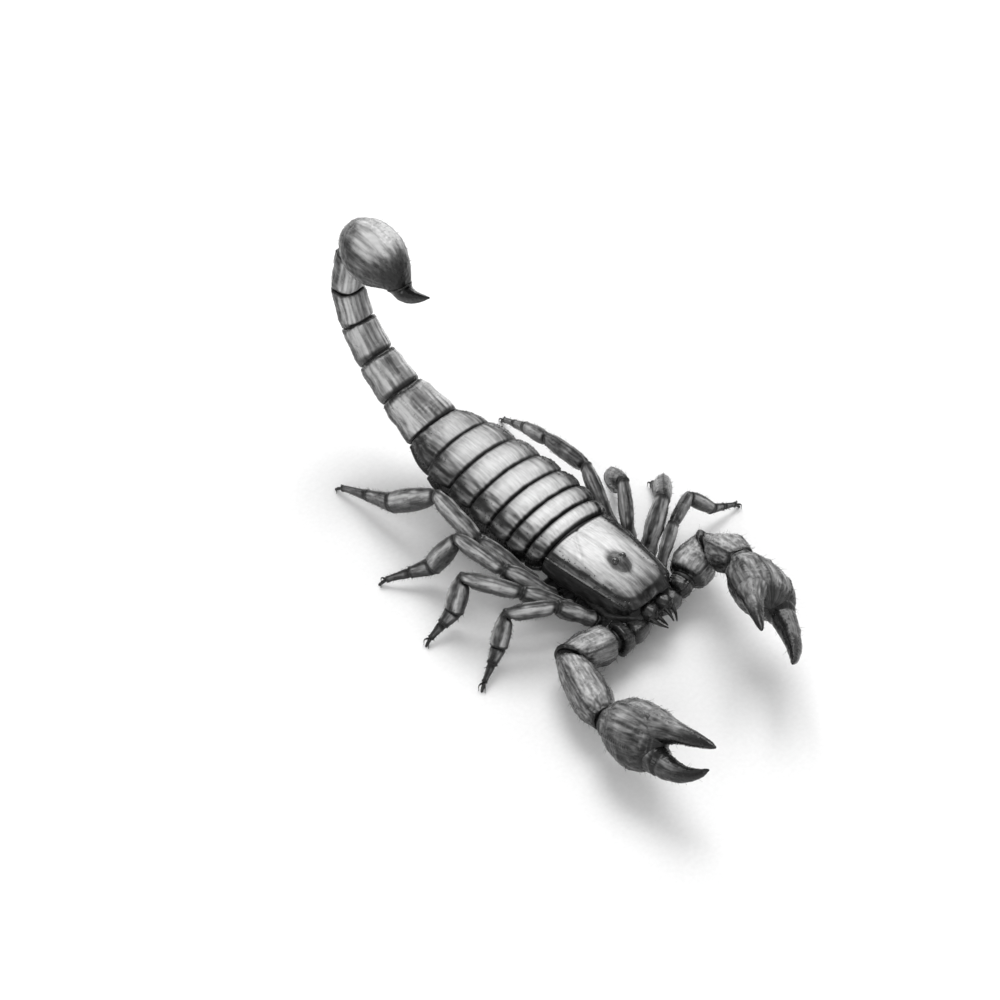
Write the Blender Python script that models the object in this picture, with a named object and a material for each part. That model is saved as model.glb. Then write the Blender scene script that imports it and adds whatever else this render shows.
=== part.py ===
"""A large dark scorpion, life size, standing on its eight feet with its tail curled up and forward.

Units are metres and +Z is up. The head faces -Y and the animal's left is +X, so x = 0 is the plane
of symmetry of its body and tail; the legs and claws are posed, and differ from side to side.
While it is built, the origin is on the floor under the rear edge of the head shield. At the end
everything is moved together so that the origin is the middle of the footprint, on the floor.

Each armour segment is its own closed solid, parted from its neighbours by a thin cut.
"""

import math

import bmesh
import bpy
from mathutils import Matrix, Vector

MM = 0.001
CUT = 0.3 * MM  # clearance between one armour segment and the next
UP = Vector((0, 0, 1))
FORWARD = Vector((0, -1, 0))
BACKWARD = Vector((0, 1, 0))

# Head shield and trunk, from the front edge of the shield to the root of the tail.
SHIELD_LENGTH = 26 * MM
SHIELD_REAR_Y = 8 * MM
SHIELD_HALF_WIDTH = 11.7 * MM
SHIELD_UNDERSIDE_Z = 10.3 * MM
TRUNK_HEIGHT = 13 * MM  # of the trunk's centreline, where it leaves the shield
TRUNK_RISE = 5.5 * MM  # by the tail root
TERGITE_LENGTHS = [4.6, 5.5, 6.4, 7.1, 7.7, 8.3, 9.4]  # of the seven trunk segments, in mm
BORDER_HALF_WIDTHS = [11.8, 13.2, 14.0, 14.1, 13.7, 13.0, 11.9, 8.0]  # at their eight borders, in mm
BORDER_TOPS = [5.3, 6.2, 6.8, 7.0, 6.9, 6.6, 6.1, 5.1]  # above the centreline, in mm
BORDER_BOTTOMS = [5.0, 5.4, 5.7, 5.8, 5.8, 5.8, 5.8, 5.7]  # below it, in mm

# Tail: five segments, then the poison vesicle and the sting. Angles are above the horizon,
# and pass 90 degrees where the tail turns forward. It sways about 1 mm off the plane x = 0.
TAIL_ROOT_ANGLE = 26  # of the cut between the trunk and the tail
TAIL_LENGTHS = [12.0, 10.8, 10.0, 10.0, 12.8]  # in mm
TAIL_ANGLES = [31, 31, 37, 66, 103]
# At the tail's six joints, in mm: half-width, sway, and depth on the inside and outside of its curl.
TAIL_HALF_WIDTHS = [8.0, 5.8, 4.8, 4.4, 3.9, 3.8]
TAIL_SWAYS = [0, -1.1, -0.8, 0.5, 0.9, 0.9]  # positive to the animal's left
TAIL_INNER_DEPTHS = [5.1, 4.1, 3.8, 3.9, 4.0, 3.8]
TAIL_OUTER_DEPTHS = [5.7, 6.0, 5.4, 4.4, 3.6, 3.5]
# The vesicle's and the sting's own centrelines, as Bezier handles from the end of the tail:
# (forwards, up), in mm. The vesicle hangs forwards, and the sting sweeps forwards from below it.
VESICLE_LINE = [(0.1, 0.4), (0.4, 5.4), (12.6, 4.6), (17.3, -0.9)]
VESICLE_HALF_WIDTH = 7.2 * MM
STING_LINE = [(17.5, -1.3), (19.6, -3.2), (23.4, -0.7), (27.3, 1.7)]
STING_BASE_RADIUS = 2.75 * MM

# Legs, front pair first, in mm: femur with trochanter, and patella.
LEG_FEMUR = [12.5, 15.5, 16.5, 18.5]
LEG_PATELLA = [12.0, 14.5, 15.0, 17.0]
LEG_DEPTH = [2.4, 2.7, 2.8, 2.9]  # half-depth of the femur
HIP_X = [11.3, 12.4, 12.9, 13.3]
HIP_Y = [-9.6, -4.2, 1.4, 7.0]
HIP_Z = 7.3
FOOT_RADIUS = 0.75 * MM
LEG_GIRTH = {"right": [1.05, 1.0, 1.0, 1.1], "left": [1.0, 1.3, 1.0, 0.95]}  # share of the usual
ANKLE_GIRTH = {"right": 1.4, "left": 1.0}  # the same, of the ankle only
# Where each leg's knee (patella to tibia), ankle (tibia to foot) and toe stand, in mm.
KNEES = {
    "right": [(-29.3, 2.3, 14), (-29.6, 16.6, 16), (-22.6, 25.6, 17.6), (-16.2, 39.4, 18)],
    "left": [(31.3, -1.0, 12.7), (30.6, 7.0, 12.2), (23.2, 18.2, 12.0), (22.0, 38.6, 11.9)],
}
ANKLES = {
    "right": [(-32.9, 1.2, 6), (-32.4, 16.9, 6.2), (-26, 31, 6.7), (-19, 52.4, 8.4)],
    "left": [(38.2, -3.2, 5.2), (34, 10.5, 4.4), (27.6, 19.8, 4.4), (23.9, 48.2, 8.2)],
}
TOES = {
    "right": [(-41.4, -2), (-40.7, 17.4), (-35, 39.8), (-20.4, 71.8)],
    "left": [(47, -4.4), (37, 16), (31, 25.5), (27, 59.8)],
}
LEG_BOW = {"right": [0.35, 0.8, 0.85, 1.1], "left": [0.05, 0.35, 0, -0.2]}  # outward, per unit of up

# Claw arms: shoulder, elbow, wrist and the two finger tips, in mm.
SHOULDERS = {"right": (-8.4, -18.6, 6.8), "left": (8.2, -17.4, 7.2)}
ELBOWS = {"right": (-25.8, -14.6, 9.0), "left": (24.0, -14.2, 11.0)}
WRISTS = {"right": (-33, -33.3, 8.5), "left": (17.8, -29.6, 21.3)}
FIXED_TIPS = {"right": (-31.0, -64.5, 23.5), "left": (0.3, -50.4, 26.4)}
FREE_TIPS = {"right": (-34.1, -65.5, 19.4), "left": (1.2, -59.3, 21.2)}
TROCHANTER_LENGTH = 4.6 * MM
ARM_GIRTHS = {"right": (1.12, 1.08, 1.0), "left": (0.82, 1.24, 0.98)}  # of the three, share of the usual
HAND_LENGTH = {"right": 18.4, "left": 13.4}  # to the roots of the fingers, in mm
HAND_HALF_WIDTH = {"right": 7.8, "left": 8.2}  # in mm
HAND_SHIFT = {"right": -0.7, "left": -4.6}  # of the middle of the hand, towards the free finger, in mm
# Each finger's radius at the root, distance of the root from the hand's middle and outward bow, in mm.
FIXED_FINGER = {"right": (3.2, 3.36, 0.2), "left": (3.0, 6.0, 0.4)}
FREE_FINGER = {"right": (3.4, 3.56, 2.8), "left": (3.4, 3.9, 3.2)}

EYE_RADIUS = 0.95 * MM
EYE_Y = -6.5 * MM
EYE_X = 1.3 * MM
COMB_TEETH = 13


def mm(x, y, z):
    return Vector((x, y, z)) * MM


def finish(name, colour, roughness):
    material = bpy.data.materials.new(name)
    material.use_nodes = True
    shader = material.node_tree.nodes["Principled BSDF"]
    shader.inputs["Base Color"].default_value = (*colour, 1)
    shader.inputs["Roughness"].default_value = roughness
    shader.inputs["Metallic"].default_value = 0
    material.diffuse_color = (*colour, 1)
    return material


def collection(name, hidden=False):
    made = bpy.data.collections.new(name)
    made.hide_render = hidden
    bpy.context.scene.collection.children.link(made)
    return made


def add_object(name, bm, material, where):
    """Turns a finished bmesh into a named object."""
    bmesh.ops.recalc_face_normals(bm, faces=bm.faces)
    mesh = bpy.data.meshes.new(name)
    bm.to_mesh(mesh)
    bm.free()
    mesh.materials.append(material)
    mesh.shade_smooth()
    mesh.set_sharp_from_angle(angle=math.radians(40))
    obj = bpy.data.objects.new(name, mesh)
    where.objects.link(obj)
    return obj


def section(centre, along, width, top, bottom=None, up=UP, square=2.0, belly=None):
    """One cross-section of a loft: half-width, half-heights above and below, and how square each is."""
    side = up.cross(along).normalized()
    lift = along.cross(side).normalized()
    return {
        "centre": centre, "side": side, "lift": lift, "width": width, "top": top,
        "bottom": top if bottom is None else bottom, "square": square, "belly": belly or square,
    }


def rounded(value, power):
    """A superellipse's coordinate: power 2 is a circle, and more is squarer."""
    return math.copysign(abs(value) ** (2 / power), value)


def loft(name, sections, sides, material, where):
    """A closed solid through unlike cross-sections, capped at both ends."""
    bm = bmesh.new()
    rings = []
    for s in sections:
        ring = []
        for k in range(sides):
            turn = 2 * math.pi * (k + 0.5) / sides
            c, z = math.cos(turn), math.sin(turn)
            power = s["square"] if z > 0 else s["belly"]
            height = s["top"] if z > 0 else s["bottom"]
            across = s["side"] * rounded(c, power) * s["width"]
            ring.append(bm.verts.new(s["centre"] + across + s["lift"] * rounded(z, power) * height))
        rings.append(ring)
    for near, far in zip(rings, rings[1:]):
        for k in range(sides):
            j = (k + 1) % sides
            bm.faces.new((near[k], near[j], far[j], far[k]))
    bm.faces.new(rings[0])
    bm.faces.new(rings[-1])
    return add_object(name, bm, material, where)


def join(target, operation, tool=None, tools=None):
    """Adds a Boolean modifier with one object, or with a whole collection of them."""
    modifier = target.modifiers.new(operation.title(), "BOOLEAN")
    modifier.operation = operation
    modifier.solver = "EXACT"
    if tools:
        modifier.operand_type = "COLLECTION"
        modifier.collection = tools
    else:
        modifier.object = tool


def as_tool(obj):
    obj.hide_render = True
    obj.display_type = "WIRE"
    return obj


def halfway(before, at, after):
    """The direction that a joint's cut faces: half-way between the two segments that meet there."""
    return ((at - before).normalized() + (after - at).normalized()).normalized()


def elbow_point(start, end, first, second, towards):
    """Where two bones of those lengths meet when they join start to end and bend the given way."""
    line = end - start
    reach = min(line.length, 0.995 * (first + second))
    along = (first**2 - second**2 + reach**2) / (2 * reach)
    out = math.sqrt(max(first**2 - along**2, 0))
    bend = (towards - towards.project(line)).normalized()
    return start + line.normalized() * along + bend * out


def along_bezier(handles, share):
    """A point and direction on a cubic Bezier curve."""
    a, b, c, d = handles
    rest = 1 - share
    point = a * rest**3 + b * 3 * rest**2 * share + c * 3 * rest * share**2 + d * share**3
    slope = (b - a) * rest**2 + (c - b) * 2 * rest * share + (d - c) * share**2
    return point, slope.normalized()


def align_rings(sections):
    """Turns each ring about its own axis to follow the one before, so that a loft doesn't twist."""
    for before, after in zip(sections, sections[1:]):
        normal = after["side"].cross(after["lift"])
        side = (before["side"] - normal * before["side"].dot(normal)).normalized()
        after["side"], after["lift"] = side, normal.cross(side)


def segment(name, start, end, start_cut, end_cut, sizes, material, where, up=UP, sides=10, square=2.0):
    """An armour tube between two joints. sizes are (share of the length, half-width, half-depth).
    Its ends lie in the joints' cuts, and its other rings are square to it, clear of those cuts."""
    facing = (end - start).normalized()
    length = (end - start).length
    sections = [section(start + start_cut * CUT / 2, start_cut, *sizes[0][1:], up=up, square=square)]
    for share, *girths in sizes[1:-1]:
        reach = 1.1 * max(girths)
        low = CUT + reach * math.tan(facing.angle(start_cut))
        high = length - CUT - reach * math.tan(facing.angle(end_cut))
        place = min(max(share * length, low + 0.1 * share * length), high - 0.1 * (1 - share) * length)
        centre = start + facing * place
        sections.append(section(centre, facing, *girths, up=up, square=square))
    sections.append(section(end - end_cut * CUT / 2, end_cut, *sizes[-1][1:], up=up, square=square))
    return loft(name, sections, sides, material, where)


# ---- Head shield, with the eyes on it -------------------------------------------------------


def build_shield(parts, tools, plate, eye_finish):
    """The single shield over the head: narrow and low in front, with a raised tubercle for the
    two large eyes a third of the way back."""
    front_y = SHIELD_REAR_Y - SHIELD_LENGTH
    stations = [  # share of the length from the front, share of the width, top above z 12.5 mm
        (0.0, 0.60, 1.2), (0.04, 0.70, 1.9), (0.18, 0.80, 3.3), (0.42, 0.90, 4.6),
        (0.70, 0.97, 5.2), (0.94, 1.0, 5.3), (1.0, 0.99, 4.9),
    ]
    middle_z = 12.5 * MM
    sections = []
    for share, width, top in stations:
        y = front_y + (SHIELD_LENGTH - CUT / 2) * share
        sections.append(section(
            Vector((0, y, middle_z)), BACKWARD, width * SHIELD_HALF_WIDTH, top * MM,
            middle_z - SHIELD_UNDERSIDE_Z, square=2.4, belly=7,
        ))
    shield = loft("head_shield", sections, 20, plate, parts)

    tubercle = bmesh.new()
    bmesh.ops.create_uvsphere(tubercle, u_segments=12, v_segments=8, radius=1)
    crown_z = 16.2 * MM
    bmesh.ops.transform(
        tubercle, verts=tubercle.verts,
        matrix=Matrix.Translation((0, EYE_Y, crown_z)) @ Matrix.Diagonal((2.2 * MM, 3.4 * MM, 2.1 * MM, 1)),
    )
    join(shield, "UNION", as_tool(add_object("tubercle_tool", tubercle, plate, tools)))

    for side, sign in (("right", -1), ("left", 1)):
        centre = Matrix.Translation((sign * EYE_X, EYE_Y, 17.75 * MM))
        for name, radius, where in (
            (f"eye_{side}", EYE_RADIUS, parts),
            (f"socket_{side}_tool", EYE_RADIUS + CUT, tools),
        ):
            ball = bmesh.new()
            bmesh.ops.create_uvsphere(ball, u_segments=10, v_segments=6, radius=radius, matrix=centre)
            made = add_object(name, ball, eye_finish, where)
        join(shield, "DIFFERENCE", as_tool(made))


# ---- Underside of the head: the breast plate and the roots of the limbs ---------------------


def hip(side, pair):
    sign = 1 if side == "left" else -1
    return mm(sign * HIP_X[pair], HIP_Y[pair], HIP_Z)


def hip_root(side, pair):
    """The inner end of a leg's root, beside the breast bone."""
    sign = 1 if side == "left" else -1
    return mm(sign * 3, HIP_Y[pair] * 0.8 - 1, 6.8)


def arm_root(side):
    """The inner end of a claw arm's root, under the mouth."""
    return mm(2.8 if side == "left" else -2.8, -15, 7.2)


def build_breast(parts, tools, plate):
    """The eight leg roots and the two claw-arm roots, grown together into one plate."""
    plate_z = 7.0 * MM
    stations = [
        (-17.4, 3.6, 1.5), (-15, 5.2, 2.2), (-8, 6.4, 2.4), (2, 6.6, 2.2), (6, 5.4, 1.7), (7.4, 3.4, 1.0),
    ]
    sections = [
        section(Vector((0, y * MM, plate_z)), BACKWARD, width * MM, depth * MM, square=2.6)
        for y, width, depth in stations
    ]
    breast = loft("breast_plate", sections, 16, plate, parts)
    roots = collection("limb_roots", hidden=True)
    for side in ("right", "left"):
        for pair in range(4):
            start, end, middle = hip_root(side, pair), hip(side, pair), leg_joints(side, pair)[1]
            depth = 0.72 * LEG_DEPTH[pair] * MM
            sizes = [(0, 1.7 * MM, 1.5 * MM), (0.5, 2.3 * MM, 1.9 * MM), (1, 0.95 * depth, depth)]
            as_tool(segment(
                f"leg_root_{side}_{pair + 1}_tool", start, end, (end - start).normalized(),
                halfway(start, end, middle), sizes, plate, roots, sides=8,
            ))
        shoulder, start = mm(*SHOULDERS[side]), arm_root(side)
        cut = halfway(start, shoulder, mm(*ELBOWS[side]))
        sizes = [(0, 2.0 * MM, 2.0 * MM), (0.5, 2.6 * MM, 2.4 * MM), (1, 2.2 * MM, 2.2 * MM)]
        as_tool(segment(
            f"claw_root_{side}_tool", start, shoulder, (shoulder - start).normalized(), cut,
            sizes, plate, roots, sides=8,
        ))
    join(breast, "UNION", tools=roots)


# ---- Jaws -----------------------------------------------------------------------------------


def build_jaws(parts, tools, plate):
    """The two short jaws side by side in front of the shield, each a stout block with a pair of
    curved fingers."""
    for side, sign in (("right", -1), ("left", 1)):
        root = mm(sign * 2.45, -18.3, 10.2)
        stations = [(0, 1.8, 1.9), (0.8, 2.1, 2.3), (2.2, 2.05, 2.3), (3.1, 1.5, 1.8), (3.5, 0.8, 1.0)]
        sections = [
            section(root + (FORWARD - UP * 0.1) * y * MM, FORWARD, width * MM, depth * MM, square=2.5)
            for y, width, depth in stations
        ]
        jaw = loft(f"jaw_{side}", sections, 12, plate, parts)
        for label, offset, bend, length in (("outer", 0.95, -1.9, 5.8), ("inner", -0.95, -0.5, 5.2)):
            finger = []
            for k in range(5):
                share = k / 4
                centre = root + mm(
                    sign * (offset + bend * share**2),
                    -2.0 - (length - 1.6) * share,
                    -0.3 - 1.5 * share**1.6,
                )
                girth = (1.05 - 0.78 * share) * MM
                aim = Vector((sign * bend * share, -1, -0.8 * share)).normalized()
                finger.append(section(centre, aim, 0.85 * girth, girth))
            join(jaw, "UNION", as_tool(loft(f"jaw_{side}_{label}_tool", finger, 8, plate, tools)))


# ---- Trunk ----------------------------------------------------------------------------------


def trunk_border(k):
    """Centre and facing of the trunk's k-th border. Its rear half lifts towards the tail."""
    length = sum(TERGITE_LENGTHS)
    share = sum(TERGITE_LENGTHS[:k]) / length
    slope = 1.5 * share**0.5 * TRUNK_RISE / (length * MM)
    centre = Vector((0, SHIELD_REAR_Y + share * length * MM, TRUNK_HEIGHT + TRUNK_RISE * share**1.5))
    if k == 7:
        return centre, tail_direction(TAIL_ROOT_ANGLE)
    return centre, Vector((0, 1, slope)).normalized()


def build_trunk(parts, plate):
    """Seven broad rings, each a back plate, soft sides and a belly plate, the rear edge of each a
    little prouder than the front of the next."""
    for k in range(7):
        (front, facing_front), (rear, facing_rear) = trunk_border(k), trunk_border(k + 1)
        sections = []
        for share, girth in ((0, 0.93), (0.2, 0.975), (0.75, 1.01), (1, 0.985)):
            facing = facing_front.lerp(facing_rear, share).normalized()
            centre = front.lerp(rear, share)
            if share == 0:
                centre = front + facing * CUT / 2
            if share == 1:
                centre = rear - facing * CUT / 2
            ends = [
                (1 - share) * values[k] + share * values[k + 1]
                for values in (BORDER_HALF_WIDTHS, BORDER_TOPS, BORDER_BOTTOMS)
            ]
            width, top, bottom = (girth * value * MM for value in ends)
            sections.append(section(centre, facing, width, top, bottom, square=2.0, belly=2.7))
        loft(f"trunk_{k + 1}", sections, 20, plate, parts)


def build_combs(parts, plate):
    """The pair of toothed feelers under the front of the trunk, flat and swept back."""
    bar_length, bar_width, tooth = 8.6 * MM, 1.2 * MM, 1.5 * MM
    pitch = bar_length / COMB_TEETH
    for side, sign in (("right", -1), ("left", 1)):
        outline = [(0, 0), (bar_length, 0.35 * bar_width), (bar_length, bar_width)]
        for k in reversed(range(COMB_TEETH)):
            shorter = tooth * (0.7 + 0.3 * math.sin(math.pi * (k + 0.5) / COMB_TEETH))
            left, right = (k + 0.2) * pitch, (k + 0.8) * pitch
            end = bar_width + shorter
            outline += [(right, bar_width), (right, end), (left, end), (left, bar_width)]
        outline.append((0, bar_width))
        curve = bpy.data.curves.new(f"comb_{side}", "CURVE")
        curve.dimensions = "2D"
        curve.fill_mode = "BOTH"
        curve.extrude = 0.35 * MM
        spline = curve.splines.new("POLY")
        spline.points.add(len(outline) - 1)
        for point, (x, y) in zip(spline.points, outline):
            point.co = (sign * x, y, 0, 1)
        spline.use_cyclic_u = True
        curve.materials.append(plate)
        comb = bpy.data.objects.new(f"comb_{side}", curve)
        comb.location = mm(sign * 1.3, 9.4, 6.9)
        comb.rotation_euler = (math.radians(5), 0, sign * math.radians(24))
        parts.objects.link(comb)


# ---- Tail -----------------------------------------------------------------------------------


def tail_direction(angle):
    return Vector((0, math.cos(math.radians(angle)), math.sin(math.radians(angle))))


def build_tail(parts, plate, vesicle_finish, sting_finish):
    """Five ring segments, the swollen vesicle and the curved sting, all close to the body's plane."""
    joint, cut = trunk_border(7)
    side_axis = Vector((1, 0, 0))
    for k in range(5):
        direction = tail_direction(TAIL_ANGLES[k])
        sway = side_axis * (TAIL_SWAYS[k + 1] - TAIL_SWAYS[k]) * MM
        end = joint + direction * TAIL_LENGTHS[k] * MM + sway
        next_cut = tail_direction((TAIL_ANGLES[k] + TAIL_ANGLES[min(k + 1, 4)]) / 2)
        sizes = []
        for share, girth in ((0, 0.94), (0.16, 1.0), (0.5, 1.0), (0.84, 1.03), (1, 0.94)):
            sizes.append([share] + [
                girth * ((1 - share) * ends[k] + share * ends[k + 1]) * MM
                for ends in (TAIL_HALF_WIDTHS, TAIL_INNER_DEPTHS, TAIL_OUTER_DEPTHS)
            ])
        segment(
            f"tail_{k + 1}", joint, end, cut, next_cut, sizes, plate, parts,
            up=side_axis.cross(direction), sides=16, square=2.7,
        )
        joint, cut = end, next_cut

    def handles(line):
        return [joint + Vector((0, -forwards, up)) * MM for forwards, up in line]

    sections = []
    for share, girth, outer, inner in (
        (0, 0.44, 1.0, 1.0), (0.11, 0.52, 1.06, 0.64), (0.25, 0.8, 1.16, 0.74), (0.39, 0.96, 1.24, 1.0),
        (0.53, 1.0, 1.28, 1.12), (0.69, 0.9, 1.34, 1.18), (0.86, 0.63, 1.34, 1.14), (1, 0.38, 1.0, 1.0),
    ):
        centre, aim = along_bezier(handles(VESICLE_LINE), share)
        half = girth * VESICLE_HALF_WIDTH
        sections.append(section(centre, aim, half, inner * half, outer * half, up=side_axis.cross(aim)))
    loft("vesicle", sections, 16, vesicle_finish, parts)

    sections = []
    for k in range(8):
        share = k / 7
        centre, aim = along_bezier(handles(STING_LINE), share)
        if k == 0:
            end, aim = along_bezier(handles(VESICLE_LINE), 1)
            centre = end + aim * CUT
        half = (STING_BASE_RADIUS - 0.26 * MM) * (1 - share) ** 0.85 + 0.26 * MM
        sections.append(section(centre, aim, half, half, up=side_axis.cross(aim)))
    loft("sting", sections, 10, sting_finish, parts)


# ---- Legs -----------------------------------------------------------------------------------


def leg_joints(side, pair):
    """Hip, femur end, knee, ankle and toe of one leg. Femur and patella bend up and outwards."""
    start = hip(side, pair)
    knee = mm(*KNEES[side][pair])
    outward = Vector((math.copysign(LEG_BOW[side][pair], start.x), 0, 1))
    middle = elbow_point(start, knee, LEG_FEMUR[pair] * MM, LEG_PATELLA[pair] * MM, outward)
    return [start, middle, knee, mm(*ANKLES[side][pair]), mm(*TOES[side][pair], 0)]


def build_leg(side, pair, parts, plate):
    """Femur, patella and shank. Each is deeper than it is wide, and the toe ends in a small flat."""
    start, middle, knee, ankle, toe = leg_joints(side, pair)
    first_cut = halfway(hip_root(side, pair), start, middle)
    middle_cut = halfway(start, middle, knee)
    knee_cut = halfway(middle, knee, ankle)
    depth = LEG_GIRTH[side][pair] * LEG_DEPTH[pair] * MM
    name = f"leg_{side}_{pair + 1}"
    femur = [
        (0, 0.62 * depth, 0.7 * depth), (0.13, 0.7 * depth, 0.86 * depth), (0.22, 0.62 * depth, 0.8 * depth),
        (0.55, 0.7 * depth, 1.0 * depth), (0.88, 0.64 * depth, 0.88 * depth), (1, 0.5 * depth, 0.66 * depth),
    ]
    segment(f"{name}_femur", start, middle, first_cut, middle_cut, femur, plate, parts)
    patella = [
        (0, 0.5 * depth, 0.66 * depth), (0.15, 0.62 * depth, 0.84 * depth), (0.5, 0.66 * depth, 0.94 * depth),
        (0.85, 0.6 * depth, 0.84 * depth), (1, 0.46 * depth, 0.6 * depth),
    ]
    segment(f"{name}_patella", middle, knee, middle_cut, knee_cut, patella, plate, parts)

    lifted = toe + UP * 1.35 * MM
    shin, foot = (ankle - knee).normalized(), (lifted - ankle).normalized()
    sections = [section(knee + knee_cut * CUT / 2, knee_cut, 0.42 * depth, 0.58 * depth)]
    for place, share, girth, broad in (
        ("shin", 0.25, 0.8, 0.1), ("shin", 0.5, 0.82, 0.5), ("shin", 0.85, 0.68, 1), ("ankle", 0, 0.6, 1.1),
        ("foot", 0.12, 0.54, 1.1), ("foot", 0.5, 0.38, 0.6), ("foot", 0.9, 0.27, 0),
    ):
        girth *= 1 + (ANKLE_GIRTH[side] - 1) * broad
        centre, facing = {
            "shin": (knee.lerp(ankle, share), shin),
            "ankle": (ankle, (shin + foot).normalized()),
            "foot": (ankle.lerp(lifted, share), foot),
        }[place]
        sections.append(section(centre, facing, 0.76 * girth * depth, girth * depth))
    sole = (foot - UP * foot.dot(UP)).normalized()
    above = toe + UP * 0.7 * MM + sole * 0.5 * MM
    sections.append(section(above, (foot - UP * 1.5).normalized(), FOOT_RADIUS, FOOT_RADIUS))
    sections.append(section(toe + sole * 0.6 * MM, -UP, FOOT_RADIUS, FOOT_RADIUS, up=sole))
    align_rings(sections)
    loft(f"{name}_shank", sections, 10, plate, parts)


# ---- Claw arms ------------------------------------------------------------------------------


def build_claw_arm(side, parts, plate):
    """Trochanter, femur and patella, then the claw."""
    shoulder, elbow, wrist = (mm(*place[side]) for place in (SHOULDERS, ELBOWS, WRISTS))
    tips = mm(*FIXED_TIPS[side]).lerp(mm(*FREE_TIPS[side]), 0.5)
    knuckle = shoulder.lerp(elbow, TROCHANTER_LENGTH / (elbow - shoulder).length)
    shoulder_cut = halfway(arm_root(side), shoulder, elbow)
    arm = (elbow - shoulder).normalized()
    elbow_cut = halfway(shoulder, elbow, wrist)
    wrist_cut = halfway(elbow, wrist, tips)
    for label, girth, start, end, start_cut, end_cut, sizes in (
        ("trochanter", ARM_GIRTHS[side][0], shoulder, knuckle, shoulder_cut, arm,
         ((0, 2.3, 2.3), (0.4, 3.6, 3.4), (0.8, 3.6, 3.4), (1, 2.6, 2.5))),
        ("femur", ARM_GIRTHS[side][1], knuckle, elbow, arm, elbow_cut,
         ((0, 2.7, 2.6), (0.15, 3.9, 3.6), (0.5, 4.2, 3.9), (0.86, 4.3, 3.9), (1, 3.1, 2.9))),
        ("patella", ARM_GIRTHS[side][2], elbow, wrist, elbow_cut, wrist_cut,
         ((0, 3.0, 2.8), (0.14, 4.2, 3.8), (0.45, 4.8, 4.3), (0.8, 4.5, 4.0), (1, 2.8, 2.6))),
    ):
        segment(
            f"claw_{side}_{label}", start, end, start_cut, end_cut,
            [(share, girth * width * MM, girth * depth * MM) for share, width, depth in sizes],
            plate, parts, sides=12, square=2.4,
        )
    build_claw(side, wrist, wrist_cut, parts, plate)


def build_claw(side, wrist, wrist_cut, parts, plate):
    """The swollen hand, its fixed finger on the inner side, and the free finger hinged beside it."""
    fixed_reach, free_reach = (mm(*tips[side]) - wrist for tips in (FIXED_TIPS, FREE_TIPS))
    along = (fixed_reach.normalized() + free_reach.normalized()).normalized()
    across = fixed_reach.normalized() - free_reach.normalized()
    across = (across - along * across.dot(along)).normalized()
    upper = across.cross(along)
    if upper.dot(UP) < 0:
        upper = -upper

    length, half = HAND_LENGTH[side] * MM, HAND_HALF_WIDTH[side] * MM

    def place(a, c):
        shift = HAND_SHIFT[side] * MM * math.sin(0.5 * math.pi * min(a / length, 1))
        return wrist + along * a + across * (c + shift)

    hand = [section(wrist + wrist_cut * CUT / 2, wrist_cut, 2.6 * MM, 2.5 * MM, up=upper)]
    for share, width, depth in (
        (0.12, 0.56, 0.46), (0.31, 0.86, 0.68), (0.56, 1.0, 0.78), (0.8, 0.98, 0.74), (1, 0.84, 0.56),
    ):
        centre = place(length * share, 0)
        hand.append(section(centre, along, width * half, depth * half, up=upper, square=2.2))
    align_rings(hand)
    loft(f"claw_{side}_hand", hand, 16, plate, parts)

    for label, sign, reach, (radius, apart, bow) in (
        ("fixed_finger", 1, fixed_reach, FIXED_FINGER[side]),
        ("free_finger", -1, free_reach, FREE_FINGER[side]),
    ):
        root, tip = place(length + CUT, sign * apart * MM), wrist + reach
        line, outwards = tip - root, across * sign * bow * MM
        handles = [root, root + line * 0.3 + outwards, root + line * 0.75 + outwards, tip]
        sections = []
        for k in range(8):
            share = k / 7
            centre, aim = along_bezier(handles, share)
            girth = ((radius - 0.28) * (1 - share) ** 0.8 + 0.28) * MM
            sections.append(section(centre, along if k == 0 else aim, girth, 0.95 * girth, up=upper))
        loft(f"claw_{side}_{label}", sections, 10, plate, parts)


# ---- The whole animal -----------------------------------------------------------------------


def centre_on_footprint(parts):
    """Moves everything so that the origin is at the middle of the model's footprint, on the floor."""
    bpy.context.view_layer.update()
    graph = bpy.context.evaluated_depsgraph_get()
    points = []
    for obj in parts.objects:
        made = obj.evaluated_get(graph)
        mesh = made.to_mesh()
        points += [made.matrix_world @ vertex.co for vertex in mesh.vertices]
        made.to_mesh_clear()
    low = Vector(min(p[axis] for p in points) for axis in range(3))
    high = Vector(max(p[axis] for p in points) for axis in range(3))
    stand = bpy.data.objects.new("scorpion", None)
    bpy.context.scene.collection.objects.link(stand)
    for obj in bpy.data.objects:
        if obj is not stand:
            obj.parent = stand
    stand.location = (-(low.x + high.x) / 2, -(low.y + high.y) / 2, -low.z)


def main():
    for obj in list(bpy.data.objects):
        bpy.data.objects.remove(obj, do_unlink=True)
    plate = finish("back_plate", (0.30, 0.30, 0.30), 0.32)
    limb = finish("limb_plate", (0.10, 0.10, 0.10), 0.35)
    claw = finish("claw_plate", (0.12, 0.12, 0.12), 0.35)
    eye = finish("eye", (0.01, 0.01, 0.01), 0.08)
    tip = finish("sting", (0.03, 0.03, 0.03), 0.22)
    parts = collection("scorpion_parts")
    tools = collection("cutters", hidden=True)
    build_shield(parts, tools, plate, eye)
    build_breast(parts, tools, limb)
    build_jaws(parts, tools, claw)
    build_trunk(parts, plate)
    build_combs(parts, limb)
    build_tail(parts, plate, plate, tip)
    for side in ("right", "left"):
        for pair in range(4):
            build_leg(side, pair, parts, limb)
        build_claw_arm(side, parts, claw)
    centre_on_footprint(parts)


main()
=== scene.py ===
import math

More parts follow.
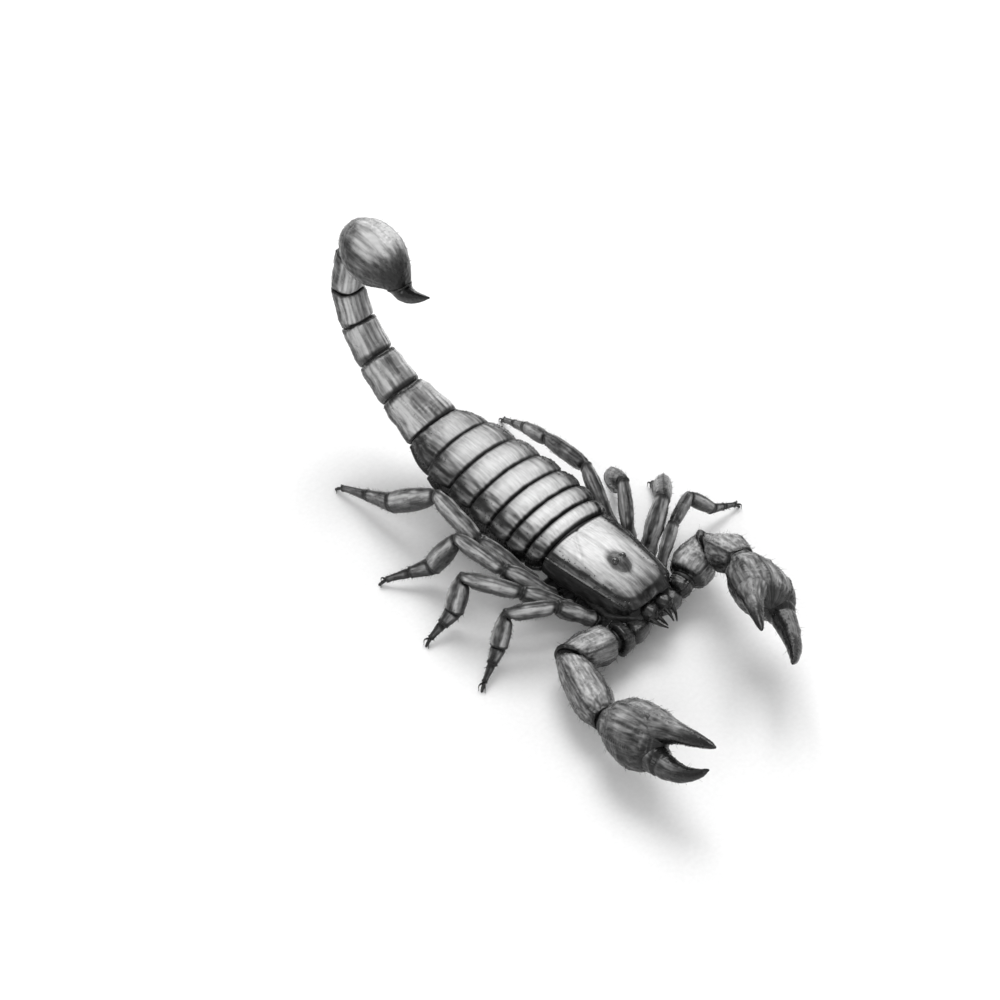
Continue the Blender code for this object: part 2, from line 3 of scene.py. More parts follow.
import bpy
import numpy as np
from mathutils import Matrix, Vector, noise
from mathutils.bvhtree import BVHTree


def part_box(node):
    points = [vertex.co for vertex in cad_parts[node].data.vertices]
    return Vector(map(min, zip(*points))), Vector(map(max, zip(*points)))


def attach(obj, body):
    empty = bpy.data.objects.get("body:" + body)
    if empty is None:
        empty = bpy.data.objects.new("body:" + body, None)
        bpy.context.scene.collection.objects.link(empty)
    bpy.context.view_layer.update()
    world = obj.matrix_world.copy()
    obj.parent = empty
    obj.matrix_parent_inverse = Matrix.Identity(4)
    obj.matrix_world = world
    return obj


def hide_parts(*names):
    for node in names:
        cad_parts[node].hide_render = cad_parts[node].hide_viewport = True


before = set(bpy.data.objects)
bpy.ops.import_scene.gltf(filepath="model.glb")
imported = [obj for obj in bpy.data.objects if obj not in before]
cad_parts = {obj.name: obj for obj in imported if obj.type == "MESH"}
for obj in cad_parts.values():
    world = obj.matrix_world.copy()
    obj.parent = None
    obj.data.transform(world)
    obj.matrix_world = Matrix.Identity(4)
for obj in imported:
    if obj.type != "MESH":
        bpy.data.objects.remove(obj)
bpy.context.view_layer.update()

# A large dark scorpion, life size, standing with its tail raised. Every piece is a shell of hard
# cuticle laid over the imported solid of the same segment. Shapes are worked out in millimetres.


# ---- Studio ---------------------------------------------------------------------------------
# A pale seamless sheet, large soft lamps round it and a still camera, which looks down on the
# animal from in front of its right claw.


def middle_of(node):
    low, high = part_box(node)
    return (low + high) / 2


def show(name, data):
    """A new object in the scene, at the origin."""
    thing = bpy.data.objects.new(name, data)
    bpy.context.scene.collection.objects.link(thing)
    return thing


crown = (middle_of("eye_left") + middle_of("eye_right")) / 2
camera_data = bpy.data.cameras.new("studio_camera")
camera_data.lens = 93
camera_data.sensor_width = 36
camera_data.clip_start = 0.01
camera_data.clip_end = 20
camera = show("studio_camera", camera_data)
camera.location = crown + Vector((-0.32116, -0.28106, 0.44563))
camera.rotation_euler = Vector((0.5, 0.5, -math.sqrt(0.5))).to_track_quat("-Z", "Y").to_euler()
bpy.context.scene.camera = camera


class Wire:
    """One socket of a finish. Sums on wires add the Math nodes that work them out."""

    def __init__(self, finish, socket):
        self.finish = finish
        self.socket = socket

    def maths(self, operation, first, second):
        return self.finish.add("ShaderNodeMath", {"operation": operation}, {0: first, 1: second})

    def __add__(self, other):
        return self.maths("ADD", self, other)

    def __sub__(self, other):
        return self.maths("SUBTRACT", self, other)

    def __mul__(self, other):
        return self.maths("MULTIPLY", self, other)


class Finish:
    """A material in the making: add() puts in any node, and put() feeds the surface shader."""

    def __init__(self, name):
        self.material = bpy.data.materials.new(name)
        self.material.use_nodes = True
        self.tree = self.material.node_tree
        self.surface = self.tree.nodes["Principled BSDF"]

    def feed(self, socket, value):
        if isinstance(value, Wire):
            self.tree.links.new(value.socket, socket)
        else:
            socket.default_value = value

    def add(self, kind, settings, inputs, output=0):
        node = self.tree.nodes.new(kind)
        for key, value in settings.items():
            if key != "stops":
                setattr(node, key, value)
                continue
            ramp = node.color_ramp
            ramp.elements.remove(ramp.elements[1])
            ramp.elements[0].position = value[0][0]
            for place, _ in value[1:]:
                ramp.elements.new(place)
            for element, (_, grey) in zip(ramp.elements, value):
                element.color = (grey, grey, grey, 1)
        for key, value in inputs.items():
            self.feed(node.inputs[key], value)
        return Wire(self, node.outputs[output])

    def put(self, **values):
        for key, value in values.items():
            self.feed(self.surface.inputs[key.replace("_", " ")], value)


def paper_finish():
    finish = Finish("studio_paper")
    place = finish.add("ShaderNodeTexCoord", {}, {}, "Object")
    fibre = finish.add("ShaderNodeTexNoise", {}, {"Vector": place, "Scale": 900, "Detail": 3})
    shade = finish.add("ShaderNodeValToRGB", {"stops": [(0.3, 0.86), (0.7, 0.9)]}, {"Fac": fibre})
    finish.put(Base_Color=shade, Roughness=0.85)
    return finish.material


def add_paper():
    reach = 3.0
    mesh = bpy.data.meshes.new("studio_paper")
    corners = [(-reach, -reach, 0), (reach, -reach, 0), (reach, reach, 0), (-reach, reach, 0)]
    mesh.from_pydata(corners, [], [(0, 1, 2, 3)])
    mesh.materials.append(paper_finish())
    show("studio_paper", mesh)


def add_lamp(name, place, size, watts):
    lamp_data = bpy.data.lights.new(name, "AREA")
    lamp_data.shape = "RECTANGLE"
    lamp_data.size, lamp_data.size_y = size
    lamp_data.energy = watts
    lamp = show(name, lamp_data)
    lamp.location = Vector((0, 0, 0.02)) + Vector(place)
    lamp.rotation_euler = (-Vector(place)).to_track_quat("-Z", "Y").to_euler()


add_paper()
add_lamp("high_lamp", (0.30, 0.25, 0.75), (0.5, 0.5), 4.6)
add_lamp("front_lamp", (-0.75, -0.35, 0.50), (0.6, 0.5), 2.2)
add_lamp("rear_lamp", (0.45, 0.75, 0.35), (0.5, 0.4), 2.0)
world = bpy.data.worlds.new("studio_air")
world.use_nodes = True
world.node_tree.nodes["Background"].inputs["Color"].default_value = (1, 1, 1, 1)
world.node_tree.nodes["Background"].inputs["Strength"].default_value = 0.6
bpy.context.scene.world = world
bpy.context.scene.view_settings.view_transform = "Standard"


# ---- Trunk ----------------------------------------------------------------------------------
# Seven broad rings of hard cuticle. Each has an arched back plate whose polished rear edge laps
# over the next, pleated soft skin along the flank, and a flatter belly plate.

MM = 0.001
SIDES = (("right", -1), ("left", 1))
LEFT = np.array((1.0, 0, 0))
HIGH = np.array((0, 0, 1.0))
FLOOR = 0.02  # the lowest that any shell reaches


def box_of(node):
    """A node's lowest and highest corners, in millimetres."""
    return [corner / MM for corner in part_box(node)]


def unit(vectors):
    return vectors / np.maximum(np.linalg.norm(vectors, axis=-1, keepdims=True), 1e-9)


def layers_from(ring, beside):
    """The points in layers: the ring given, then all beside it, then all beside those."""
    layers, seen = [], set()
    while ring:
        layers.append(ring)
        seen |= ring
        ring = set().union(*(beside[corner] for corner in ring)) - seen
    return layers


def rings_of(node, before):
    """The cross-sections of a lofted solid, from its end nearer to the node before it."""
    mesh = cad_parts[node].data
    corners = np.array([vertex.co[:] for vertex in mesh.vertices]) / MM
    faces = np.array([polygon.vertices[:] for polygon in mesh.polygons])
    points, index = np.unique(corners.round(3), axis=0, return_inverse=True)
    faces = index.reshape(-1)[faces]
    beside = [set() for _ in points]
    for face in faces.tolist():
        for corner in face:
            beside[corner].update(face)
    a, b, c = (points[faces[:, k]] for k in range(3))
    facing = unit(np.cross(b - a, c - a))
    on_plane = abs(facing @ points.T - (facing * a).sum(axis=1, keepdims=True)) < 0.012
    for face in np.argsort(-on_plane.sum(axis=1), kind="stable"):
        rings = layers_from(set(np.flatnonzero(on_plane[face]).tolist()), beside)
        if len(rings) > 1 and len({len(ring) for ring in rings}) == 1:
            break
    else:
        raise ValueError(f"{node} isn't a plain loft")
    rings = [points[list(ring)] for ring in rings]
    near = np.array(middle_of(before)) / MM
    first, last = (np.linalg.norm(rings[end].mean(axis=0) - near) for end in (0, -1))
    return rings if first < last else rings[::-1]


def in_order(rings):
    """The same rings with their points in turn round the tube, each starting beside the last."""
    middles = np.array([ring.mean(axis=0) for ring in rings])
    ahead = unit(np.gradient(middles, axis=0))
    ordered = []
    for ring, middle, aim in zip(rings, middles, ahead):
        spokes = ring - middle
        facing = np.linalg.svd(spokes)[2][2]
        if facing @ aim < 0:
            facing = -facing
        first = unit(spokes[0] - facing * (spokes[0] @ facing))
        second = np.cross(facing, first)
        ring = ring[np.argsort(np.arctan2(spokes @ second, spokes @ first))]
        if ordered:
            guide = unit(ordered[-1] - ordered[-1].mean(axis=0))
            turns = [np.roll(ring, k, axis=0) for k in range(len(ring))]
            ring = max(turns, key=lambda turned: (unit(turned - middle) * guide).sum())
        ordered.append(ring)
    return np.array(ordered)


def round_curve(points, count):
    """A smooth closed curve through the points, as so many points evenly spread."""
    total = len(points)
    weights = np.eye(total) * 4 / 6
    weights += (np.roll(np.eye(total), 1, axis=1) + np.roll(np.eye(total), -1, axis=1)) / 6
    pulls = np.linalg.solve(weights, points)
    place = np.arange(count) * total / count
    start = place.astype(int)
    f = (place - start)[:, None]
    shares = ((1 - f) ** 3, 3 * f**3 - 6 * f**2 + 4, -3 * f**3 + 3 * f**2 + 3 * f + 1, f**3)
    return sum(share / 6 * pulls[(start + k - 1) % total] for k, share in enumerate(shares))


def open_curve(knots, values, places):
    """A smooth open curve through values at knots, read at the places given."""
    slopes = np.gradient(values, knots, axis=0)
    k = np.clip(np.searchsorted(knots, places, side="right") - 1, 0, len(knots) - 2)
    step = (knots[k + 1] - knots[k]).reshape(-1, *[1] * (values.ndim - 1))
    f = (places - knots[k]).reshape(step.shape) / step
    near = (1 + 2 * f) * (1 - f) ** 2 * values[k] + f * (1 - f) ** 2 * step * slopes[k]
    return near + f**2 * (3 - 2 * f) * values[k + 1] + f**2 * (f - 1) * step * slopes[k + 1]


LIP = np.array((0, 0.02, 0.06, 0.12, 0.2, 0.32))


def stations(length, start, end, count):
    """Where along a tube its rows go: evenly, and close together over the rounded lip at each end."""
    low, high = start * length, end * length
    inner = np.linspace(low + 0.45, high - 0.45, count)
    return np.concatenate([low + LIP, inner, high - LIP[::-1]])


def run_of(points):
    """How far along a path each of its points is."""
    return np.concatenate([[0], np.cumsum(np.linalg.norm(np.diff(points, axis=0), axis=1))])


def lifts_of(aims, across, lift):
    """Which way is up at each step: square to the path, and to "across" where that is given."""
    lifts = []
    for aim in aims:
        if across is not None:
            lift = np.cross(across, aim)
        lift = unit(lift - aim * (lift @ aim))
        lifts.append(lift)
    return np.array(lifts)


def noise_at(places):
    """Smooth noise between about -1 and 1, in lumps about 1 across."""
    found = np.array([noise.noise(place) for place in places.reshape(-1, 3).tolist()])
    return found.reshape(places.shape[:2]) * 2


class Skin:
    """A tube of shell: rows of points round it, with what the carving of its surface goes by."""

    def __init__(self, rows, across=None, lift=HIGH):
        self.rows = rows
        self.middle = rows.mean(axis=1)
        self.run = run_of(self.middle)[:, None]
        self.length = self.run[-1, 0]
        self.share = self.run / self.length
        self.rest = self.length - self.run
        self.aim = unit(np.gradient(self.middle, axis=0))
        lifts = lifts_of(self.aim, across, lift)
        spokes = rows - self.middle[:, None]
        self.x = (spokes * np.cross(self.aim, lifts)[:, None]).sum(axis=2)
        self.z = (spokes * lifts[:, None]).sum(axis=2)
        top = self.z.max(axis=1, keepdims=True)
        bottom = -self.z.min(axis=1, keepdims=True)
        half = abs(self.x).max(axis=1, keepdims=True)
        self.turn = np.degrees(np.arctan2(self.x / half, self.z / np.where(self.z > 0, top, bottom)))
        self.girth = (half + (top + bottom) / 2) / 2
        round_it = np.roll(rows, -1, axis=1) - np.roll(rows, 1, axis=1)
        self.out = unit(np.cross(np.gradient(rows, axis=0), round_it))
        self.out *= np.sign((self.out * spokes).sum(axis=2, keepdims=True) + 1e-9)

    def swell(self, amount):
        """Moves the surface outwards by that many millimetres."""
        self.rows = self.rows + self.out * (amount * np.ones(self.turn.shape))[..., None]

    def keel(self, turn, width):
        """1 along a ridge at that angle from the top, in degrees, fading over that width in mm."""
        away = (self.turn - turn + 180) % 360 - 180
        return np.exp(-((np.radians(away) * self.girth / width) ** 2))

    def beads(self, pitch):
        """A row of rounded grains along the tube, between 0 and 1."""
        return np.abs(np.sin(math.pi * self.run / pitch)) ** 0.8

    def rough(self, size, shift=0.0):
        """Smooth unevenness between about -1 and 1, in lumps of that size in mm."""
        return noise_at(self.rows / size + shift)

    def streaks(self, size):
        """Smooth unevenness like rough(), drawn out along the tube."""
        along = self.run / (7 * size) + 0 * self.x
        return noise_at(np.stack([along, self.x / size, self.z / size], axis=2) + 4.0)

    def ridges(self, keels, width, strength):
        """Keels as (turn, height): how far each point is on one, and how far they lift it."""
        crest, lift = 0, 0
        for turn, height in keels:
            ridge = self.keel(turn, width)
            crest = np.maximum(crest, ridge)
            lift = lift + height * ridge * strength
        return crest, lift

    def toned(self, wander, size, turns, tones):
        """A tone by the angle from the top, whose bounds wander by that many degrees."""
        return np.interp(abs(self.turn) + wander * self.rough(size, 2.0), turns, tones)

    def edge(self, facing, after, before):
        """The line of points that face most that way, and which rows it runs through."""
        rows = np.flatnonzero((self.run[:, 0] > after) & (self.rest[:, 0] > before))
        return self.rows[rows, facing.argmax(axis=1)[rows]], rows

    def ends(self, first, last):
        """A tone that falls at each end to "least": both are (where it starts to rise, stops, least)."""
        (low, high, least), (near, far, other) = first, last
        start = least + (1 - least) * fade(self.run, low, high)
        return start * (other + (1 - other) * fade(self.rest, near, far))


def skin_of(node, before, count, around, start=0.0, end=1.0, across=None, lift=HIGH):
    """A smooth skin over a lofted solid, or over the share of it between start and end."""
    rings = in_order(rings_of(node, before))
    knots = run_of(rings.mean(axis=1))
    fine = np.array([round_curve(ring, around) for ring in rings])
    return Skin(open_curve(knots, fine, stations(knots[-1], start, end, count)), across, lift)


def fade(value, low, high):
    """0 below low, 1 above high and smooth between."""
    share = np.clip((value - low) / (high - low), 0, 1)
    return share * share * (3 - 2 * share)


def bump(value, centre, width):
    """1 where the value is at the centre, fading away over about that width."""
    return np.exp(-(((value - centre) / width) ** 2))


def stacked(rows, first_cap, last_cap):
    """Rows with both ends closed: caps are lists of (share of the end's girth, height outwards)."""
    pieces = []
    for end, inward, caps in ((0, 1, first_cap), (-1, -2, last_cap)):
        middle = rows[end].mean(axis=0)
        facing = unit(np.cross(rows[end][0] - middle, rows[end][len(rows[0]) // 4] - middle))
        if facing @ (rows[inward].mean(axis=0) - middle) > 0:
            facing = -facing
        made = [middle + (rows[end] - middle) * share + facing * height for share, height in caps]
        pieces.append(made if end else made[::-1])
    source = [0] * len(pieces[0]) + list(range(len(rows))) + [len(rows) - 1] * len(pieces[1])
    return np.array([*pieces[0], *rows, *pieces[1]]), source


def closed_tube(points, around):
    """Quads round a stack of rows, and a fan at each pole, all facing out. The poles come last."""
    rows = (len(points) - 2) // around
    k = np.arange(around)
    j = (k + 1) % around
    quads = []
    for row in range(rows - 1):
        low, high = row * around, (row + 1) * around
        quads.append(np.stack([low + k, low + j, high + j, high + k], axis=1))
    top, pole = (rows - 1) * around, rows * around
    fans = [np.stack([j, k, np.full(around, pole)], axis=1)]
    fans.append(np.stack([top + k, top + j, np.full(around, pole + 1)], axis=1))
    quads, fans = np.concatenate(quads), np.concatenate(fans)
    volume = 0.0
    for some, corners in ((fans, (0, 1, 2)), (quads, (0, 1, 2)), (quads, (0, 2, 3))):
        a, b, c = (points[some[:, corner]] for corner in corners)
        volume += (a * np.cross(b, c)).sum()
    faces = quads.tolist() + fans.tolist()
    return faces if volume > 0 else [face[::-1] for face in faces]


DISHED = [(0.86, -0.05), (0.6, -0.3), (0.25, -0.4), (0, -0.4)]
ROUNDED = [(0.8, 0.2), (0.45, 0.4), (0, 0.45)]
grown = {}  # where bristles stand, by group: (points, faces, how hairy, which way they lean)


def put_layers(mesh, **layers):
    """Numbers or directions kept at each point of a mesh."""
    for key, values in layers.items():
        values = np.asarray(values, np.float32)
        kind, field = ("FLOAT", "value") if values.ndim == 1 else ("FLOAT_VECTOR", "vector")
        mesh.attributes.new(key, kind, "POINT").data.foreach_set(field, values.ravel())


def add_mesh(name, points, faces, material, **layers):
    mesh = bpy.data.meshes.new(name)
    mesh.from_pydata((points * MM).tolist(), [], faces)
    put_layers(mesh, **layers)
    mesh.materials.append(material)
    mesh.shade_smooth()
    return show(name, mesh)


def settle(piece, slot, nodes):
    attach(piece, "root")
    if nodes:
        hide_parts(*nodes)


def add_shell(
    name, skin, tone, material, slot, nodes, caps=(DISHED, DISHED), hairy=None, group=None, grainy=None
):
    """Closes a skin, rounds its lips and makes it a piece, with its tone and grain as layers."""
    near = np.minimum(skin.run, skin.rest)
    lip = 0.16
    inset = lip * (1 - np.sqrt(1 - np.clip(1 - near / lip, 0, 1) ** 2))
    middle = skin.middle[:, None]
    spokes = skin.rows - middle
    rows = middle + spokes * (1 - inset / np.linalg.norm(spokes, axis=2))[..., None]
    around = rows.shape[1]
    shift = sum(map(ord, name)) % 97 * 7.0  # gives each shell its own part of the grain
    flow = np.stack([skin.run + 0 * skin.x + shift, skin.x, skin.z], axis=2)
    tone = np.clip(tone * np.ones(skin.x.shape), 0, 1)
    rows, source = stacked(rows, *caps)
    poles = np.array([rows[0].mean(axis=0), rows[-1].mean(axis=0)])
    points = np.concatenate([rows.reshape(-1, 3), poles])
    points[:, 2] = np.maximum(points[:, 2], FLOOR)
    faces = closed_tube(points, around)

    def layer(values):
        flat = values[source].reshape(-1, *values.shape[2:])
        return np.concatenate([flat, values[[0, -1], 0]])

    piece = add_mesh(name, points, faces, material, tone=layer(tone), flow=layer(flow))
    settle(piece, slot, nodes)
    lean = np.repeat(skin.aim[:, None], around, axis=1)
    for label, share in ((group, hairy), ("grains", grainy)):
        if share is not None:
            some = layer(share * np.ones(skin.x.shape))
            grown.setdefault(label, []).append((points, faces, some, layer(lean)))


def shell_finish(name, stops, roughness, grain=1.0, relief=0.02):
    """Hard polished cuticle: grey streaks along the animal, fine pores and a thin waxy gloss."""
    finish = Finish(name)
    flow = finish.add("ShaderNodeAttribute", {"attribute_name": "flow"}, {}, "Vector")
    # The tone layer picks the grey: on most shells it holds painted highlights and painted shade, as well as
    # the shell's own darker keels and joints.
    tone = finish.add("ShaderNodeAttribute", {"attribute_name": "tone"}, {}, "Fac")
    drawn_out = finish.add("ShaderNodeMapping", {}, {"Vector": flow, "Scale": (0.1, 1, 1)})
    streaks = finish.add(
        "ShaderNodeTexNoise", {}, {"Vector": drawn_out, "Scale": 2.2, "Detail": 4, "Roughness": 0.6}
    )
    clouds = finish.add("ShaderNodeTexNoise", {}, {"Vector": flow, "Scale": 0.55, "Detail": 3})
    pores = finish.add("ShaderNodeTexVoronoi", {}, {"Vector": flow, "Scale": 4.2}, "Distance")
    shade = tone + (streaks - 0.5) * (0.44 * grain) + (clouds - 0.5) * (0.16 * grain)
    colour = finish.add("ShaderNodeValToRGB", {"stops": stops}, {"Fac": shade}, "Color")
    height = pores * 0.5 + streaks * 0.6
    pitted = finish.add(
        "ShaderNodeBump", {}, {"Height": height, "Strength": 0.55, "Distance": relief * MM}
    )
    finish.put(
        Base_Color=colour, Roughness=(clouds - 0.5) * 0.3 + streaks * 0.12 + (roughness - 0.06),
        Normal=pitted, Specular_IOR_Level=0.32, Coat_Weight=0.12, Coat_Roughness=0.16,
    )
    return finish.material


back_finish = shell_finish(
    "back_shell", [(0.02, 0.005), (0.22, 0.022), (0.42, 0.09), (0.62, 0.24), (0.82, 0.46), (1.0, 0.68)], 0.34
)
CROWN_TONES = [0.97, 0.95, 0.92, 0.89, 0.86, 0.82, 0.74]  # painted highlight on the crown of each of the seven back plates, front to rear


def carve_trunk(k):
    before = "head_shield" if k == 1 else f"trunk_{k - 1}"
    skin = skin_of(f"trunk_{k}", before, 44, 264, across=LEFT)
    off = abs(skin.turn)
    back = 1 - fade(off, 78, 82)
    belly = fade(off, 104, 108)
    flank = 1 - back - belly
    share = skin.share
    lapped = fade(skin.run, 0.1, 0.8)
    rim = fade(skin.rest, 0.0, 0.25) * (1 - fade(skin.rest, 0.45, 0.8))
    swell = back * (0.3 * np.sin(math.pi * share) ** 0.7 - 0.26 * (1 - lapped) + 0.12 * rim)
    swell += belly * (0.2 * np.sin(math.pi * share) - 0.24 * (1 - lapped) + 0.1 * rim)
    pleats = np.sin(2 * math.pi * skin.run / 0.62 + 0.4 * skin.rough(2.0))
    swell += flank * (-0.45 + 0.09 * pleats + 0.12 * skin.rough(0.9))
    fine = skin.rough(1.3, 7.0)
    grainy = back * fade(off, 18, 60) * lapped
    swell += 0.07 * grainy * fine
    if k > 1:
        swell += back * 0.16 * skin.keel(0, 0.55) * fade(share, 0.3, 0.7) * (0.4 + 0.6 * skin.beads(0.7))
    if k == 7:
        for turn in (-48, -26, 26, 48):
            swell += 0.26 * skin.keel(turn, 0.4) * fade(share, 0.2, 0.5) * (0.3 + 0.7 * skin.beads(0.7))
    slit = 0
    if 3 <= k <= 6:
        for turn in (-142, 142):
            place = np.radians((skin.turn - turn + 180) % 360 - 180) * skin.girth
            slit = slit + np.exp(-((place / 0.75) ** 2) - (((skin.run - 0.55 * skin.length) / 0.2) ** 2))
        swell -= 0.3 * slit
    skin.swell(swell)
    # Painted light: the pale crown of each back plate is a painted highlight, darkening down the flanks as
    # painted shade, with two dark lines along each side; the dark bands at the front and rear edges, where
    # the plates lap, are painted shade too.
    wander = 2.2 * skin.rough(2.4, 3.0)
    across = np.interp(
        off + wander, [0, 16, 32, 44, 50, 54, 60, 66, 71, 76, 82, 104, 110, 150, 180],
        [1, 0.98, 0.82, 0.58, 0.3, 0.12, 0.42, 0.36, 0.08, 0.16, 0.02, 0.04, 0.3, 0.5, 0.46],
    )
    along = fade(skin.run + 0.04 * wander, 0.1, 1.1) * (0.06 + 0.94 * fade(skin.rest, 0.1, 0.75))
    tone = CROWN_TONES[k - 1] * across * along * (1 - 0.2 * fade(share, 0.5, 1)) - 0.5 * slit
    tone = tone + back * 0.2 * fade(off, 14, 46) * skin.streaks(0.9)
    add_shell(
        f"trunk_ring_{k}", skin, tone, back_finish, "back_plate", [f"trunk_{k}"],
        hairy=belly * 0.5 + flank * 0.6, group="trunk",
        grainy=back * fade(off, 30, 62) * (0.3 + 0.7 * fade(share, 0.35, 0.8)) * fade(skin.rest, 0.5, 0.9),
    )


for k in range(1, 8):
    carve_trunk(k)


# ---- Head shield and eyes -------------------------------------------------------------------
# One arched shield covers the head: notched in front, furrowed down the middle, and raised in a
# small mound a third of the way back that carries the two large lenses. Three bead-like side
# eyes stand at each front corner.


crown_x, crown_y, crown_z = (value / MM for value in crown)


def shield_rows(count, top_points, belly_points):
    """The shield's rows from front to rear, measured off its solid and left without the eye mound."""
    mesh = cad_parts["head_shield"].data
    solid = BVHTree.FromPolygons(
        [vertex.co / MM for vertex in mesh.vertices], [face.vertices[:] for face in mesh.polygons]
    )
    low, high = box_of("head_shield")
    x, waist = crown_x, low.z + 2.2
    length = high.y - low.y

    def reach(share, direction):
        start = Vector((x, low.y + max(share * length, 0.03), waist + 0.02))
        return solid.ray_cast(start, Vector(direction))[3]

    edges = np.array((0, 0.02, 0.04, 0.1, 0.18, 0.27, 0.63, 0.7, 0.8, 0.9, 0.95, 0.995))
    halves = np.array([reach(share, (1, 0, 0)) for share in edges])
    tops = np.array([reach(share, (0, 0, 1)) for share in edges])
    places = stations(length, 0, 1, count)
    half = np.interp(places, edges * length, halves)[:, None]
    top = np.interp(places, edges * length, tops)
    kernel = np.hanning(17) / np.hanning(17).sum()
    top = np.convolve(np.pad(top, 8, mode="edge"), kernel, "valid")[:, None]
    turn = np.radians(np.concatenate([
        np.linspace(-90, 90, top_points, endpoint=False), np.linspace(90, 270, belly_points, endpoint=False)
    ]))
    s, c = np.sin(turn), np.cos(turn)
    over = c > 0
    across = np.sign(s) * abs(s) ** np.where(over, 2 / 2.4, 2 / 7)
    height = np.where(over, abs(c) ** (2 / 2.4) * top, -(abs(c) ** (2 / 7)) * 2.2)
    y = np.repeat((low.y + places)[:, None], len(turn), axis=1)
    return np.stack([x + across * half, y, waist + height], axis=2)


def carve_shield():
    skin = Skin(shield_rows(138, 236, 64), across=LEFT)
    off, x, run, rest = abs(skin.turn), skin.x, skin.run, skin.rest
    back = 1 - fade(off, 88, 92)
    y = skin.rows[..., 1] - crown_y
    rim = skin.keel(-82, 0.4) + skin.keel(82, 0.4)
    swell = 0.2 * rim * fade(run, 0.5, 2)
    swell -= 0.1 * (skin.keel(-74, 0.5) + skin.keel(74, 0.5))
    swell -= back * 0.3 * bump(x, 0, 0.42) * fade(run, 1.5, 3) * fade(abs(y), 2.8, 4.2)
    arm = bump(abs(x) - 1.0 - 0.62 * rest, 0, 0.55)
    swell -= back * 0.26 * arm * fade(rest, 0.9, 2.0) * (1 - fade(rest, 6, 8.5))
    swell -= back * 0.2 * bump(rest, 1.15, 0.35)
    brow = bump(abs(x) - 2.9 - 0.12 * y, 0, 0.5) * (1 - fade(y, 1.5, 4.5)) * fade(run, 1.2, 2.6)
    swell += back * 0.2 * brow * (0.5 + 0.5 * skin.beads(0.6))
    lobes = bump((x / skin.girth) ** 2, 0.28, 0.2) * bump(y, 7.5, 4.0)
    swell += back * 0.22 * lobes
    swell += back * 0.05 * skin.rough(1.1, 5.0) * fade(off, 15, 60) + 0.05 * back * skin.rough(3.5)
    skin.swell(swell)
    ahead = 1 - fade(run, 0, 3.2)
    skin.rows[..., 1] += ahead * (1.15 * bump(x, 0, 2.1) + 1.6 * fade(abs(x), 4.6, 7.4) ** 2)
    skin.rows[..., 2] -= back * ahead**2 * 0.5
    px, pz = skin.rows[..., 0] - crown_x, skin.rows[..., 2]
    hump = 1 - (px / 2.35) ** 2 - (y / 3.5) ** 2
    peak = crown_z - 1.55 + 2.1 * np.sqrt(np.clip(hump, 0, 1)) - 40 * np.clip(-hump, 0, 0.2)
    soft = 0.22  # how gently the mound's foot runs into the shield, in mm
    level = 16  # a height near both, which keeps the powers small
    joined = np.exp((pz - level) / soft) + np.exp((np.clip(peak, 8, 30) - level) / soft)
    lifted = soft * np.log(joined) + level
    skin.rows[..., 2] = np.where(back > 0.5, lifted, pz)
    for side in (-1, 1):
        gap = skin.rows - np.array((crown_x + side * 1.3, crown_y, crown_z))
        far = np.linalg.norm(gap, axis=2)
        skin.rows[..., 2] += 0.16 * bump(far, 1.12, 0.16)
    # Painted light: the pale crown of the shield is a painted highlight, fading to painted shade towards its
    # sides and front, with a dark line and a paler band along the rim; it is also darker round the eye mound
    # and along the middle.
    wander = 0.05 * skin.rough(2.4, 3.0)
    edge = ((off / 58) ** 2.6 + np.clip((8.5 - run) / 7.2, 0, 2) ** 2.6) ** (1 / 2.6) + 0.5 * wander
    tone = np.interp(
        edge, [0, 0.4, 0.7, 0.88, 0.96, 1.02, 1.1, 1.2, 1.3, 1.36, 1.46, 3],
        [0.94, 0.9, 0.76, 0.56, 0.14, 0.08, 0.3, 0.4, 0.3, 0.1, 0.08, 0.08],
    )
    tone = tone * (0.66 + 0.34 * fade(run, 2, 18))
    tone = tone + back * 0.14 * skin.streaks(1.0) * fade(edge, 0.2, 0.8)
    tone = tone * (0.1 + 0.9 * fade(rest, 0.2, 0.9)) * (1 - 0.12 * bump(x, 0, 0.3))
    near_eyes = 1 - fade(np.sqrt((px / 2.9) ** 2 + (y / 4.2) ** 2) + 0.1 * wander, 0.55, 1.15)
    tone = tone * (1 - 0.6 * near_eyes)
    add_shell(
        "head_shield_plate", skin, tone, back_finish, "back_plate", ["head_shield"],
        caps=(ROUNDED_EDGE, DISHED), hairy=0.15 * (1 - back), group="trunk",
        grainy=back * fade(off, 34, 60) * fade(run, 0.6, 1.4) * fade(rest, 1.6, 2.4),
    )


def eye_finish():
    """Black glass-like cuticle over the eyes, with a faint paler ring where the lens is set in."""
    finish = Finish("eye_lens")
    tone = finish.add("ShaderNodeAttribute", {"attribute_name": "tone"}, {}, "Fac")
    place = finish.add("ShaderNodeTexCoord", {}, {}, "Object")
    depth = finish.add("ShaderNodeTexNoise", {}, {"Vector": place, "Scale": 2600, "Detail": 2})
    shade = tone * 0.4 + depth * 0.25
    colour = finish.add("ShaderNodeValToRGB", {"stops": [(0.1, 0.004), (0.6, 0.03)]}, {"Fac": shade})
    finish.put(Base_Color=colour, Roughness=depth * 0.05 + 0.03, Coat_Weight=1.0, Coat_Roughness=0.02)
    return finish.material


